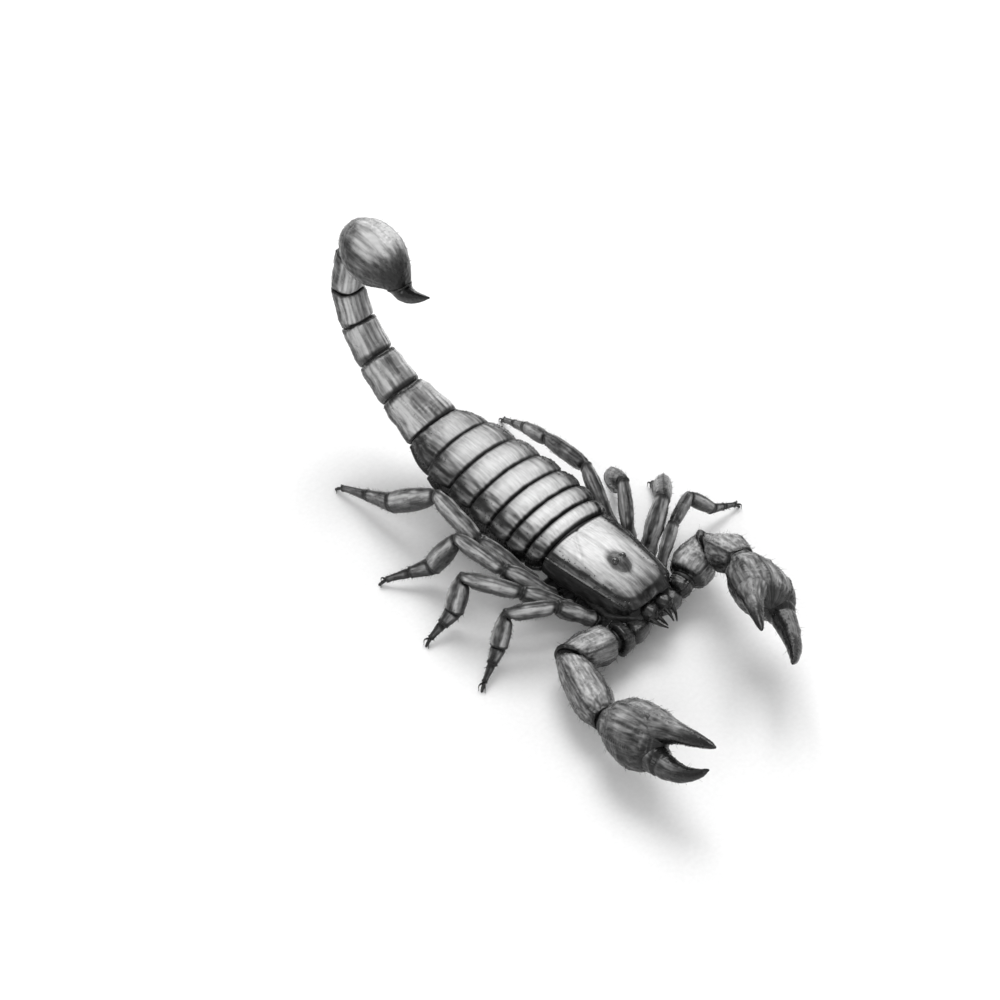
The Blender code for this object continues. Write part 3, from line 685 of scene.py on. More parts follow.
def add_eye(name, centre, radius, nodes):
    """One domed lens: a round ball of that radius."""
    turn = np.linspace(0, math.pi, 26)[1:-1]
    spin = np.linspace(0, 2 * math.pi, 36, endpoint=False)
    ring = np.stack([np.cos(spin), np.sin(spin), 0 * spin], axis=1)
    rows = np.array([ring * math.sin(t) + np.array((0, 0, -math.cos(t))) for t in turn])
    points = np.concatenate([rows.reshape(-1, 3), [(0, 0, -1), (0, 0, 1)]])
    faces = closed_tube(points, len(spin))
    tone = np.clip(1 - abs(points[:, 2]) * 1.5, 0, 1)
    piece = add_mesh(name, points * radius + np.array(centre), faces, eye_glass, tone=tone)
    settle(piece, "eye", nodes)


ROUNDED_EDGE = [(0.93, 0.1), (0.8, 0.16), (0.4, 0.18), (0, 0.18)]
eye_glass = eye_finish()
carve_shield()
for side, sign in SIDES:
    add_eye(f"eye_lens_{side}", middle_of(f"eye_{side}") / MM, 0.95, [f"eye_{side}"])
    front = box_of("head_shield")[0].y
    for k in range(3):
        corner = (crown_x + sign * (6.35 + 0.34 * k), front + 2.1 + 0.95 * k, 14.0 + 0.1 * k)
        add_eye(f"side_eye_{side}_{k + 1}", corner, 0.34 - 0.03 * k, [])


# ---- Tail -----------------------------------------------------------------------------------
# Five hard rings that hinge on each other, every one with rows of grains along its keels and
# flared where the next one is held. Above them hangs the smooth vesicle with its black sting.

tail_finish = shell_finish(
    "tail_shell", [(0.02, 0.006), (0.2, 0.025), (0.4, 0.09), (0.6, 0.26), (0.85, 0.55)], 0.32, 1.1
)


def carve_tail(k):
    before = "trunk_7" if k == 1 else f"tail_{k - 1}"
    skin = skin_of(f"tail_{k}", before, 100, 150, across=LEFT)
    share = skin.share
    grains = (0.25 + 0.75 * skin.beads(0.62)) * fade(skin.run, 0.7, 1.8) * fade(skin.rest, 0.0, 0.5)
    keels = [(36, 0.24), (66, 0.16), (142, 0.24), (166, 0.2)]
    if k == 1:
        keels += [(104, 0.16)]
    keels += [(-turn, height) for turn, height in keels]
    if k == 5:
        keels += [(180, 0.24)]
    ridges, swell = skin.ridges(keels, 0.36, grains * (0.6 + 0.55 * share))
    swell -= 0.1 * np.sin(math.pi * share) ** 0.6
    swell += 0.14 * bump(skin.rest, 0.45, 0.4) - 0.12 * (1 - fade(skin.run, 0.1, 0.8))
    swell -= 0.22 * skin.keel(0, 1.1) * fade(share, 0.1, 0.4)
    swell += 0.05 * skin.rough(0.8) + 0.06 * skin.rough(2.5, 4.0)
    skin.swell(swell)
    # Painted light: a painted highlight along the upper flanks of each ring and painted shade along the
    # lower flanks; the keels and both ends are darker too.
    tone = skin.toned(
        3, 2.2, [0, 10, 24, 40, 58, 76, 90, 104, 122, 165, 180],
        [0.46, 0.5, 0.64, 0.84, 0.8, 0.6, 0.34, 0.16, 0.1, 0.26, 0.2],
    )
    tone = tone + 0.16 * skin.streaks(0.8)
    tone = tone * (1 - 0.2 * ridges) * skin.ends((0.1, 1.6, 0), (0.2, 1.5, 0.1))
    add_shell(
        f"tail_ring_{k}", skin, tone, tail_finish, "tail_plate", [f"tail_{k}"],
        hairy=0.5 * ridges + 0.1, group="tail",
    )


def carve_vesicle():
    skin = skin_of("vesicle", "tail_5", 130, 168, across=LEFT)
    keels = [(turn, 0.12) for turn in (-150, 150, 180)]
    swell = skin.ridges(keels, 0.5, skin.beads(0.9) * np.sin(math.pi * skin.share))[1]
    swell += 0.06 * skin.rough(0.9) + 0.12 * skin.rough(3.2, 6.0)
    collar = bump(skin.run, 0.5, 0.45)
    swell += 0.32 * collar * (0.4 + 0.6 * np.cos(np.radians(skin.turn)) ** 2)
    swell -= 0.4 * bump(skin.run, 1.9, 0.5)
    for turn in (-62, 62):
        swell -= 0.5 * skin.keel(turn, 1.0) * bump(skin.run, 2.3, 1.0)
    skin.swell(swell)
    # Painted light: pale along the top and middle of the bulb as a painted highlight and dark beneath as
    # painted shade, with a dark patch on each side, part way along, as painted shade in the hollow beside
    # the last tail ring; darker towards both ends.
    tone = skin.toned(
        5, 3.0, [0, 40, 72, 100, 122, 142, 162, 180], [0.2, 0.24, 0.14, 0.24, 0.5, 0.76, 0.86, 0.84]
    )
    painted_hollow_shade = bump(skin.run, 6.8, 1.7) * (skin.keel(-124, 0.9) + skin.keel(124, 0.9))
    tone = tone + 0.2 * skin.streaks(1.1) - 0.25 * painted_hollow_shade
    tone = tone * (0.3 + 0.7 * bump(skin.run, 11.5, 4.8))
    tone = tone * skin.ends((0.2, 3.0, 0), (1.2, 7.0, 0.06))
    add_shell(
        "vesicle_bulb", skin, tone, tail_finish, "tail_plate", ["vesicle"], caps=(DISHED, ROUNDED),
        hairy=0.25 + 0.3 * fade(skin.share, 0.4, 0.8), group="tail",
    )


def carve_sting():
    skin = skin_of("sting", "vesicle", 80, 64, start=-0.1, across=LEFT)
    share = skin.share
    swell = 0.14 * bump(skin.run, 0, 1.8) + 0.03 * skin.rough(0.8)
    swell += 0.2 * skin.keel(0, 0.6) * bump(skin.run, 2.6, 0.9)
    skin.swell(swell - 0.08 * fade(share, 0.5, 1.0))
    tone = 0.14 + 0.3 * bump(abs(skin.turn), 80, 30) * (1 - fade(share, 0.1, 0.75))
    add_shell("sting_barb", skin, tone, sting_finish, "sting", ["sting"], caps=(ROUNDED, FINE_TIP))


FINE_TIP = [(0.75, 0.05), (0.35, 0.12), (0, 0.15)]
sting_finish = shell_finish("sting_horn", [(0.05, 0.004), (0.4, 0.03), (0.8, 0.12)], 0.2, 0.6, 0.01)
for k in range(1, 6):
    carve_tail(k)
carve_vesicle()
carve_sting()


# ---- Underside of the head ------------------------------------------------------------------
# The fixed roots of the eight legs and the two claw arms meet along the midline, set in soft skin.
# In front lie the four lobes that close the mouth, and behind them the small breast bone and the
# paired lid of the genital opening.

limb_finish = shell_finish(
    "limb_shell", [(0.02, 0.005), (0.22, 0.02), (0.42, 0.075), (0.62, 0.22), (0.88, 0.5)], 0.32, 1.2
)
skin_finish = shell_finish(
    "soft_skin", [(0.05, 0.006), (0.5, 0.03), (0.9, 0.08)], 0.55, 1.0, 0.04
)


def add_limb_shell(name, skin, tone, node, caps=(DISHED, DISHED), hairy=None, finish=limb_finish):
    add_shell(name, skin, tone, finish, "limb_plate", [node], caps, hairy, "legs")


def skin_along(path, halves, depths, count, around, square=2.2, across=None, lift=HIGH):
    """A skin round a path: its half-widths and half-depths are given at the path's points."""
    path = np.array(path, float)
    knots = run_of(path)
    places = stations(knots[-1], 0, 1, count)
    middle = open_curve(knots, path, places)
    half = np.maximum(open_curve(knots, np.array(halves, float), places), 0.03)[:, None]
    depth = np.maximum(open_curve(knots, np.array(depths, float), places), 0.03)[:, None]
    aims = unit(np.gradient(middle, axis=0))
    lifts = lifts_of(aims, across, lift)
    turn = np.linspace(-math.pi, math.pi, around, endpoint=False)
    x = (np.sign(np.sin(turn)) * abs(np.sin(turn)) ** (2 / square) * half)[..., None]
    z = (np.sign(np.cos(turn)) * abs(np.cos(turn)) ** (2 / square) * depth)[..., None]
    return Skin(middle[:, None] + x * np.cross(aims, lifts)[:, None] + z * lifts[:, None], across)


def start_of(node):
    """Where a limb's first segment starts, and which way it goes."""
    start, second = (ring.mean(axis=0) for ring in rings_of(node, "breast_plate")[:2])
    return start, unit(second - start)


def limb_tone(skin, pale):
    """A painted highlight along the upper flanks, painted shade along the edges, and darker towards the
    joints.
    """
    tone = skin.toned(
        5, 1.6, [0, 12, 34, 62, 84, 105, 150, 180], [0.4, 0.5, 1.0, 0.9, 0.5, 0.25, 0.34, 0.15]
    )
    return (pale * tone + 0.12 * skin.streaks(0.6)) * skin.ends((0.1, 1.3, 0.1), (0.1, 1.1, 0.2))


def add_head_underside():
    x = crown_x
    low, high = box_of("breast_plate")
    pairs = [(side, sign, pair) for side, sign in SIDES for pair in range(1, 5)]
    roots = [start_of(f"leg_{side}_{pair}_femur") for side, _, pair in pairs]
    mean_y = np.mean([start[1] for start, _ in roots])
    stops = (low.y + 1.5, low.y + 6, mean_y, high.y - 3, high.y + 1)
    core = skin_along(
        [(x, y, z) for y, z in zip(stops, (8.9, 8.8, 8.8, 8.9, 9.6))],
        [5.0, 8.6, 9.6, 10.2, 9.8], [1.7, 1.9, 2.0, 2.1, 2.4], 60, 120, 2.6, across=LEFT,
    )
    core.swell(0.14 * core.rough(1.4) + 0.12 * np.sin(2 * math.pi * core.run / 0.9 + 2 * core.rough(3.0)))
    add_limb_shell(
        "head_soft_skin", core, 0.3 + 0.2 * core.rough(2.0), "breast_plate", (ROUNDED, ROUNDED),
        finish=skin_finish,
    )
    for (side, sign, pair), (hip, aim) in zip(pairs, roots):
        out = sign * (1.75 if pair > 2 else 1.3)
        inner = np.array((x + out, mean_y + 0.8 * (hip[1] - mean_y) - 0.7, 6.0))
        middle = inner + 0.52 * (hip - inner) + np.array((0, 0, -0.55))
        skin = skin_along(
            [inner, middle, hip - aim * 0.5, hip + aim * 0.12],
            [1.35, 2.25, 1.75, 1.5], [1.35, 1.9, 1.95, 1.8], 56, 72, 2.5,
        )
        swell = 0.18 * skin.keel(-150, 0.4) * skin.beads(0.6) * np.sin(math.pi * skin.share)
        swell = swell + 0.2 * bump(skin.rest, 0.5, 0.4) + 0.05 * skin.rough(0.9)
        skin.swell(swell - 0.2 * (1 - fade(skin.run, 0, 1)))
        tone = 0.52 * skin.ends((0.1, 1.2, 0), (0.1, 1.4, 0.1))
        tone = tone * np.interp(abs(skin.turn), [0, 60, 95, 130, 180], [0.5, 0.7, 0.4, 1, 0.9])
        name = f"leg_root_{side}_{pair}"
        add_limb_shell(name, skin, tone, "breast_plate", (ROUNDED, ROUNDED), 0.4)
    for side, sign in SIDES:
        shoulder, aim = start_of(f"claw_{side}_trochanter")
        inner = np.array((x + sign * 1.9, low.y + 2.6, 6.6))
        middle = inner + 0.5 * (shoulder - inner) + np.array((0, -0.2, 0))
        skin = skin_along(
            [inner, middle, shoulder - aim * 0.4, shoulder + aim * 0.1],
            [1.7, 2.7, 2.4, 2.1], [1.5, 2.4, 2.4, 2.1], 56, 84, 2.5,
        )
        skin.swell(0.06 * skin.rough(0.9) + 0.2 * skin.keel(-35, 0.5) * skin.beads(0.6))
        tone = 0.4 * skin.ends((0.1, 1.2, 0), (0.2, 1.6, 0.1)) * (1 - 0.5 * skin.keel(-35, 0.6))
        add_limb_shell(f"claw_root_{side}", skin, tone, "breast_plate", (ROUNDED, ROUNDED), 0.4)
        for k in range(2):
            lobe = skin_along(
                [(x + sign * (0.95 + 0.1 * k), mean_y - 2.6 - 2.4 * k, 5.4 + 0.1 * k),
                 (x + sign * (0.9 + 0.1 * k), mean_y - 5.2 - 2.4 * k, 5.4 + 0.2 * k),
                 (x + sign * (0.75 + 0.25 * k), mean_y - 7.4 - 2.6 * k, 6.2 + 0.3 * k)],
                [0.7, 0.85, 0.4], [0.6, 0.8, 0.4], 30, 40,
            )
            name = f"mouth_lobe_{side}_{k + 1}"
            tone = 0.4 * fade(lobe.rest, 0, 1.5)
            add_limb_shell(name, lobe, tone, "breast_plate", (ROUNDED, ROUNDED), 0.9)
        path = ((0.25, -1.9, 5.75), (1.2, -1.6, 5.7), (2.3, -0.9, 6.0))
        lid = skin_along(
            [(x + sign * out, high.y + back, z) for out, back, z in path],
            [0.7, 1.25, 0.6], [0.35, 0.55, 0.3], 30, 48, 2.0,
        )
        tone = 0.55 * fade(lid.run, 0, 0.8)
        add_limb_shell(f"genital_lid_{side}", lid, tone, "breast_plate", (ROUNDED, ROUNDED))
    bone = skin_along(
        [(x, mean_y + 1.2, 5.3), (x, mean_y + 2.8, 5.0), (x, mean_y + 4.8, 5.0), (x, mean_y + 5.8, 5.3)],
        [0.5, 1.05, 1.45, 1.2], [0.5, 0.8, 0.8, 0.5], 36, 56, 2.8,
    )
    bone.swell(-0.35 * bone.keel(180, 0.3) * fade(bone.run, 1.5, 2.5))
    tone = 0.5 * fade(bone.run, 0, 1) * fade(bone.rest, 0, 1)
    add_limb_shell("breast_bone", bone, tone, "breast_plate", (ROUNDED, ROUNDED))


add_head_underside()


# ---- Combs ----------------------------------------------------------------------------------
# Two flat feelers under the front of the trunk: a jointed bar with a fringe of thirteen blunt
# teeth along its rear edge.

COMB_TEETH = 13


def add_combs():
    for side, sign in SIDES:
        node = f"comb_{side}"
        points = np.array([vertex.co[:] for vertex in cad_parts[node].data.vertices]) / MM
        middle = points.mean(axis=0)
        axes = np.linalg.svd(points - middle, full_matrices=False)[2]
        along = axes[0] * np.sign(axes[0][0] * sign)
        flat = axes[2] * np.sign(axes[2][2])
        rearward = np.cross(flat, along)
        rearward = rearward * np.sign(rearward[1])
        reach = (points - middle) @ along
        width = (points - middle) @ rearward
        front = middle + rearward * (width.min() + 0.65)
        root, tip = front + along * reach.min(), front + along * reach.max()
        bow = rearward * -0.25
        bar_line = tip - root
        path = [root, root + bar_line * 0.33 + bow, root + bar_line * 0.7 + bow, tip]
        bar = skin_along(path, [0.7, 0.72, 0.58, 0.34], [0.33, 0.36, 0.34, 0.25], 70, 40, 2.3, lift=flat)
        for cut in (0.36, 0.68):
            bar.swell(-0.09 * bump(bar.share, cut, 0.012))
        tone = 0.62 + 0.2 * bar.rough(1.0)
        add_limb_shell(f"comb_bar_{side}", bar, tone, node, (ROUNDED_EDGE, ROUNDED_EDGE), 0.8)
        for k in range(COMB_TEETH):
            place = (k + 0.5) / COMB_TEETH
            arch = math.sin(math.pi * place)
            base = root + bar_line * place + bow * arch + rearward * 0.35
            long = unit(rearward + along * (0.12 + 0.25 * place)) * (1.75 * (0.72 + 0.28 * arch))
            tooth = skin_along(
                [base, base + long * 0.6, base + long],
                [0.2, 0.27, 0.16], [0.16, 0.2, 0.13], 12, 18, lift=flat,
            )
            name = f"comb_tooth_{side}_{k + 1}"
            tone = 0.75 - 0.3 * fade(tooth.rest, 0, 0.5)
            add_limb_shell(name, tooth, tone, node, (ROUNDED_EDGE, ROUNDED_EDGE))


add_combs()


# ---- Jaws -----------------------------------------------------------------------------------
# A pair of short pincers in front of the shield, each a stout block with a hooked fixed finger
# and a longer toothed one beside it. In a still model they are fixed to the head.


def growing_tree(name, *labels):
    """A Geometry Nodes tree for small cones that grow on a surface, still without their places."""
    tree = bpy.data.node_groups.new(name, "GeometryNodeTree")
    kinds = {"Surface": "Geometry", "Seed": "Int", "Sides": "Int", "Finish": "Material"}
    for label in ("Surface", *labels, "Girth", "Tip Share", "Seed", "Sides", "Finish"):
        kind = f"NodeSocket{kinds.get(label, 'Float')}"
        tree.interface.new_socket(label, in_out="INPUT", socket_type=kind)
    tree.interface.new_socket("Result", in_out="OUTPUT", socket_type="NodeSocketGeometry")
    given = tree.nodes.new("NodeGroupInput").outputs

    def add(kind, settings, inputs, output=0):
        node = tree.nodes.new(kind)
        for key, value in settings.items():
            setattr(node, key, value)
        for key, value in inputs.items():
            if isinstance(value, bpy.types.NodeSocket):
                tree.links.new(value, node.inputs[key])
            else:
                node.inputs[key].default_value = value
        return node.outputs[output]

    def layer(name, kind="FLOAT"):
        return add("GeometryNodeInputNamedAttribute", {"data_type": kind}, {"Name": name})

    def maths(operation, first, second, kind="Math"):
        return add(f"ShaderNode{kind}", {"operation": operation}, {0: first, 1: second})

    def chance(low, high):
        between = {"Min": low, "Max": high, "Seed": given["Seed"]}
        return add("FunctionNodeRandomValue", {"data_type": "FLOAT"}, between, 1)

    def grow_on(points, segments, way, height, scale=1.0):
        """A cone on each point, pointing that way; then all are made real and given their finish."""
        cone = add("GeometryNodeMeshCone", {}, {
            "Vertices": given["Sides"], "Side Segments": segments, "Radius Top": given["Tip Share"],
            "Radius Bottom": 1.0, "Depth": 1.0,
        })
        turned = add("FunctionNodeAlignRotationToVector", {"axis": "Z"}, {"Vector": way})
        shape = add("ShaderNodeCombineXYZ", {}, {"X": given["Girth"], "Y": given["Girth"], "Z": height})
        shape = add("ShaderNodeVectorMath", {"operation": "SCALE"}, {"Vector": shape, "Scale": scale})
        cones = add("GeometryNodeInstanceOnPoints", {}, {
            "Points": points, "Instance": cone, "Rotation": turned, "Scale": shape,
        })
        made = add("GeometryNodeRealizeInstances", {}, {"Geometry": cones})
        made = add("GeometryNodeSetMaterial", {}, {"Geometry": made, "Material": given["Finish"]})
        tree.links.new(made, tree.nodes.new("NodeGroupOutput").inputs["Result"])
        return tree

    return given, add, layer, maths, chance, grow_on


def peg_row_tree():
    """Pegs a pitch apart along a line, pointing along its "outward" layer, sized by "size"."""
    given, add, layer, maths, chance, grow_on = growing_tree("peg_row", "Pitch", "Height", "Unevenness")
    line = add("GeometryNodeMeshToCurve", {}, {"Mesh": given["Surface"]})
    posts = add("GeometryNodeResampleCurve", {"mode": "LENGTH"}, {"Curve": line, "Length": given["Pitch"]})
    scale = chance(maths("SUBTRACT", 1.0, given["Unevenness"]), 1.0)
    scale = maths("MULTIPLY", scale, layer("size"))
    return grow_on(posts, 2, layer("outward", "FLOAT_VECTOR"), given["Height"], scale)


def grow(name, tree, points, faces, edges, layers, material, slot, nodes, **sizes):
    """Runs a tree on a mesh that isn't shown, and makes what grows on it a piece."""
    mesh = bpy.data.meshes.new(f"{name}_bed")
    mesh.from_pydata((points * MM).tolist(), edges, faces)
    put_layers(mesh, **layers)
    bed = show(f"{name}_bed", mesh)
    modifier = bed.modifiers.new("growing", "NODES")
    modifier.node_group = tree
    keys = {item.name: item.identifier for item in tree.interface.items_tree if item.in_out == "INPUT"}
    for label, value in sizes.items():
        modifier[keys[label.replace("_", " ")]] = value
    modifier[keys["Finish"]] = material
    graph = bpy.context.evaluated_depsgraph_get()
    made = bpy.data.meshes.new_from_object(bed.evaluated_get(graph))
    bed.modifiers.remove(modifier)
    bpy.data.objects.remove(bed)
    made.name = name
    made.materials.clear()
    made.materials.append(material)
    made.shade_smooth()
    count = len(made.vertices)
    place = np.empty(count * 3, np.float32)
    made.vertices.foreach_get("co", place)
    for label in layers:
        if label in made.attributes:
            made.attributes.remove(made.attributes[label])
    put_layers(made, flow=place.reshape(-1, 3) / MM, tone=np.full(count, 0.3))
    settle(show(name, made), slot, nodes)


def add_pegs(name, lines, material, nodes, **sizes):
    """Teeth along open lines: each line is (points, outward directions, sizes)."""
    points, outward, size = (np.concatenate(parts) for parts in zip(*lines))
    edges, start = [], 0
    for line, _, _ in lines:
        edges += [(start + k, start + k + 1) for k in range(len(line) - 1)]
        start += len(line)
    layers = {"outward": outward, "size": size}
    grow(name, peg_row, points, [], edges, layers, material, "claw_plate", nodes, Sides=8, **sizes)


def add_jaws():
    for side, sign in SIDES:
        node = f"jaw_{side}"
        high = box_of(node)[1]
        root = np.array((crown_x + sign * 2.45, high.y, high.z - 2.16))
        block = skin_along(
            [root + (0, 0.9, -0.1), root + (0, -0.8, 0), root + (0, -2.0, -0.15), root + (0, -2.9, -0.35)],
            [1.75, 2.05, 1.75, 1.0], [1.8, 2.1, 1.9, 1.15], 50, 80, across=-LEFT,
        )
        block.swell(0.05 * block.rough(0.8) + 0.12 * bump(block.rest, 0.8, 0.3))
        # Painted light: lighter on top as a painted highlight and darker beneath as painted shade.
        tone = 0.24 * block.ends((0.4, 1.6, 0), (0.1, 1.6, 0.2))
        tone = tone * np.interp(abs(block.turn), [0, 40, 80, 180], [0.9, 1, 0.5, 0.3])
        add_shell(
            f"jaw_block_{side}", block, tone, claw_finish, "claw_plate", [node],
            caps=(ROUNDED, ROUNDED), hairy=0.5, group="claws",
        )
        teeth = []
        for label, offset, bend, long in (("outer", 0.95, -1.9, 5.8), ("inner", -0.95, -0.5, 5.2)):
            share = np.linspace(0, 1, 6)
            path = np.stack([
                root[0] + sign * (offset + bend * share**2), root[1] - 2.0 - (long - 1.6) * share,
                root[2] - 0.3 - 1.5 * share**1.6,
            ], axis=1)
            girth = 0.98 - 0.8 * share**0.8
            finger = skin_along(path, 0.8 * girth, girth, 60, 40, across=-LEFT)
            finger.swell(0.02 * finger.rough(0.6))
            tone = 0.16 * (1 - fade(finger.share, 0.15, 0.8)) + 0.06
            add_shell(
                f"jaw_finger_{label}_{side}", finger, tone * fade(finger.run, 0.3, 1.4), claw_finish,
                "claw_plate", [node], caps=(ROUNDED, FINE_TIP),
            )
            inward = -sign * np.sign(offset) * LEFT
            edge, _ = finger.edge((finger.rows - finger.middle[:, None]) @ inward, 1.6, 0.5)
            teeth.append((edge, np.tile(inward, (len(edge), 1)), np.linspace(1, 0.5, len(edge))))
        add_pegs(
            f"jaw_teeth_{side}", teeth, claw_finish, [node], Pitch=0.55 * MM, Girth=0.2 * MM,
            Height=0.34 * MM, Tip_Share=0.15, Unevenness=0.35, Seed=4,
        )


claw_finish = shell_finish(
    "claw_shell", [(0.02, 0.004), (0.22, 0.018), (0.42, 0.07), (0.64, 0.21), (0.9, 0.48)], 0.28, 1.2, 0.026
)
peg_row = peg_row_tree()
add_jaws()


# ---- Legs -----------------------------------------------------------------------------------
# Eight legs of thin hard tube, flattened from side to side: femur, patella, tibia, two foot
# joints and a pair of hooked claws on the floor. Grains run along the edges and spurs at joints.

ANKLE_RING, HEEL_RING = 4, 7  # of the shank's sections
POINTED = (ROUNDED_EDGE, [(0.5, 0.02), (0, 0.03)])
LEG_KEELS = ((0, 0.2), (180, 0.16), (-148, 0.12), (148, 0.12), (-32, 0.08), (32, 0.08))


def carve_leg(side, pair):
    name = f"leg_{side}_{pair}"
    before = "breast_plate"
    for label in ("femur", "patella"):
        node = f"{name}_{label}"
        skin = skin_of(node, before, 72, 66)
        before = node
        grains = (0.3 + 0.7 * skin.beads(0.55)) * fade(skin.run, 0.6, 1.6) * fade(skin.rest, 0.2, 1.0)
        ridges, swell = skin.ridges(LEG_KEELS, 0.22, grains)
        swell -= 0.08 * np.sin(math.pi * skin.share)
        swell += 0.2 * bump(skin.rest, 0.35, 0.3) - 0.2 * (1 - fade(skin.run, 0.1, 0.9))
        swell += 0.035 * skin.rough(0.7) + 0.05 * skin.rough(2.0, 4.0)
        skin.swell(swell)
        # Painted shade: every left patella is painted darker than the right ones.
        tone = limb_tone(skin, 0.55 if side == "left" and label == "patella" else 0.8) * (1 - 0.3 * ridges)
        hairy = 0.25 + 0.6 * (abs(skin.turn) > 120) + 0.3 * (label == "patella")
        add_limb_shell(node + "_shell", skin, tone, node, hairy=hairy)
    node = f"{name}_shank"
    rings = in_order(rings_of(node, before))
    middles = rings.mean(axis=1)
    knots = run_of(middles)
    ankle, end = knots[ANKLE_RING] / knots[-1], knots[HEEL_RING] / knots[-1]
    half_way = ankle + 0.5 * (end - ankle)
    gap = 0.12 / knots[-1]
    for label, start, stop, count, pale in (
        ("tibia", 0.0, ankle - gap, 70, 0.74), ("long_foot", ankle + gap, half_way - gap, 46, 0.6),
        ("short_foot", half_way + gap, end, 40, 0.5),
    ):
        skin = skin_of(node, before, count, 60, start, stop)
        swell = skin.ridges(((0, 0.1), (180, 0.1)), 0.2, skin.beads(0.5) * fade(skin.run, 0.4, 1.2))[1]
        swell += 0.14 * bump(skin.rest, 0.3, 0.28) - 0.16 * (1 - fade(skin.run, 0.1, 0.8))
        skin.swell(swell - 0.05 * np.sin(math.pi * skin.share) + 0.03 * skin.rough(0.6))
        hairy = 0.7 + 1.0 * (label != "tibia")
        add_limb_shell(f"{name}_{label}_shell", skin, limb_tone(skin, pale), node, hairy=hairy)
    for label, place in (("ankle", ankle), ("foot", half_way)):
        fold = skin_of(node, before, 8, 48, place - 0.75 / knots[-1], place + 0.75 / knots[-1])
        fold.swell(-0.2 - 0.05 * np.cos(math.pi * fold.run / 0.25))
        add_limb_shell(f"{name}_{label}_fold", fold, 0.25, node, finish=skin_finish)
    ankle, heel, toe = middles[ANKLE_RING], middles[HEEL_RING], middles[-1]
    ahead = unit((toe - ankle) * (1, 1, 0))
    across = np.cross(ahead, HIGH)
    for label, sign in SIDES:
        lean = ahead + sign * 0.55 * across
        start = heel + sign * 0.12 * across
        path = [start, start + lean * 0.5, start + lean * 1.05, start + lean * 1.35]
        path[1] = path[1] + HIGH * 0.1
        path[3][2] = 0.05
        path[2][2] = max(path[2][2], 0.45)
        hook = skin_along(path, [0.26, 0.24, 0.17, 0.05], [0.3, 0.28, 0.19, 0.05], 22, 20)
        add_limb_shell(f"{name}_hook_{label}", hook, 0.12, node, POINTED, finish=sting_finish)
    sole = skin_along(
        [heel + (0, 0, 0.05), heel + (toe - heel) * 0.5 + (0, 0, 0.1), (toe[0], toe[1], 0.04)],
        [0.4, 0.42, 0.3], [0.42, 0.42, 0.3], 16, 24, lift=ahead,
    )
    add_limb_shell(f"{name}_sole", sole, 0.3, node, (ROUNDED_EDGE, ROUNDED_EDGE), 1.6, skin_finish)
    for label, sign in SIDES:
        start = ankle + sign * 0.5 * across - HIGH * 0.3
        path = [start, start - HIGH * 0.45 + ahead * 0.2, start - HIGH * 0.8 + ahead * 0.55]
        spur = skin_along(path, [0.15, 0.12, 0.04], [0.15, 0.12, 0.04], 12, 14)
        add_limb_shell(f"{name}_spur_{label}", spur, 0.2, node, POINTED, finish=sting_finish)


for side, _ in SIDES:
    for pair in range(1, 5):
        carve_leg(side, pair)


# ---- Claw arms ------------------------------------------------------------------------------
# Trochanter, femur and patella are keeled tubes; the hand is swollen with the muscle that works
# the free finger. The fixed finger grows out of the hand, and both bear rows of fine teeth.


def carve_arm(side):
    before = "breast_plate"
    for label, count in (("trochanter", 50), ("femur", 90), ("patella", 110)):
        node = f"claw_{side}_{label}"
        skin = skin_of(node, before, count, 120)
        before = node
        grains = (0.3 + 0.7 * skin.beads(0.6)) * fade(skin.run, 0.5, 1.6) * fade(skin.rest, 0.1, 1.0)
        ridges, swell = skin.ridges(((44, 0.32), (-44, 0.32), (136, 0.3), (-136, 0.3)), 0.34, grains)
        swell += skin.ridges(((90, 0.12), (-90, 0.12)), 0.34, grains)[1]
        swell -= 0.12 * np.sin(math.pi * skin.share)
        swell += 0.28 * bump(skin.rest, 0.5, 0.4) - 0.3 * (1 - fade(skin.run, 0.2, 1.2))
        swell += 0.06 * skin.rough(0.8) + 0.12 * skin.rough(2.6, 4.0)
        skin.swell(swell)
        # Painted light: a painted highlight along the top and painted shade beneath; the keels and both ends
        # are darker too.
        tone = skin.toned(
            5, 2.0, [0, 24, 40, 54, 80, 104, 132, 180],
            [0.64, 0.68, 0.46, 0.54, 0.48, 0.22, 0.08, 0.16],
        )
        tone = (tone + 0.15 * skin.streaks(0.55)) * (1 - 0.3 * ridges)
        tone = tone * skin.ends((0.2, 2.2, 0), (0.2, 2.0, 0.08))
        # Painted shade: the trochanter, between the shield and the arm, is painted darker.
        if label == "trochanter":
            tone = 0.45 * tone
        add_shell(
            node + "_shell", skin, tone, claw_finish, "claw_plate", [node],
            hairy=0.35 + 0.4 * ridges, group="claws",
        )


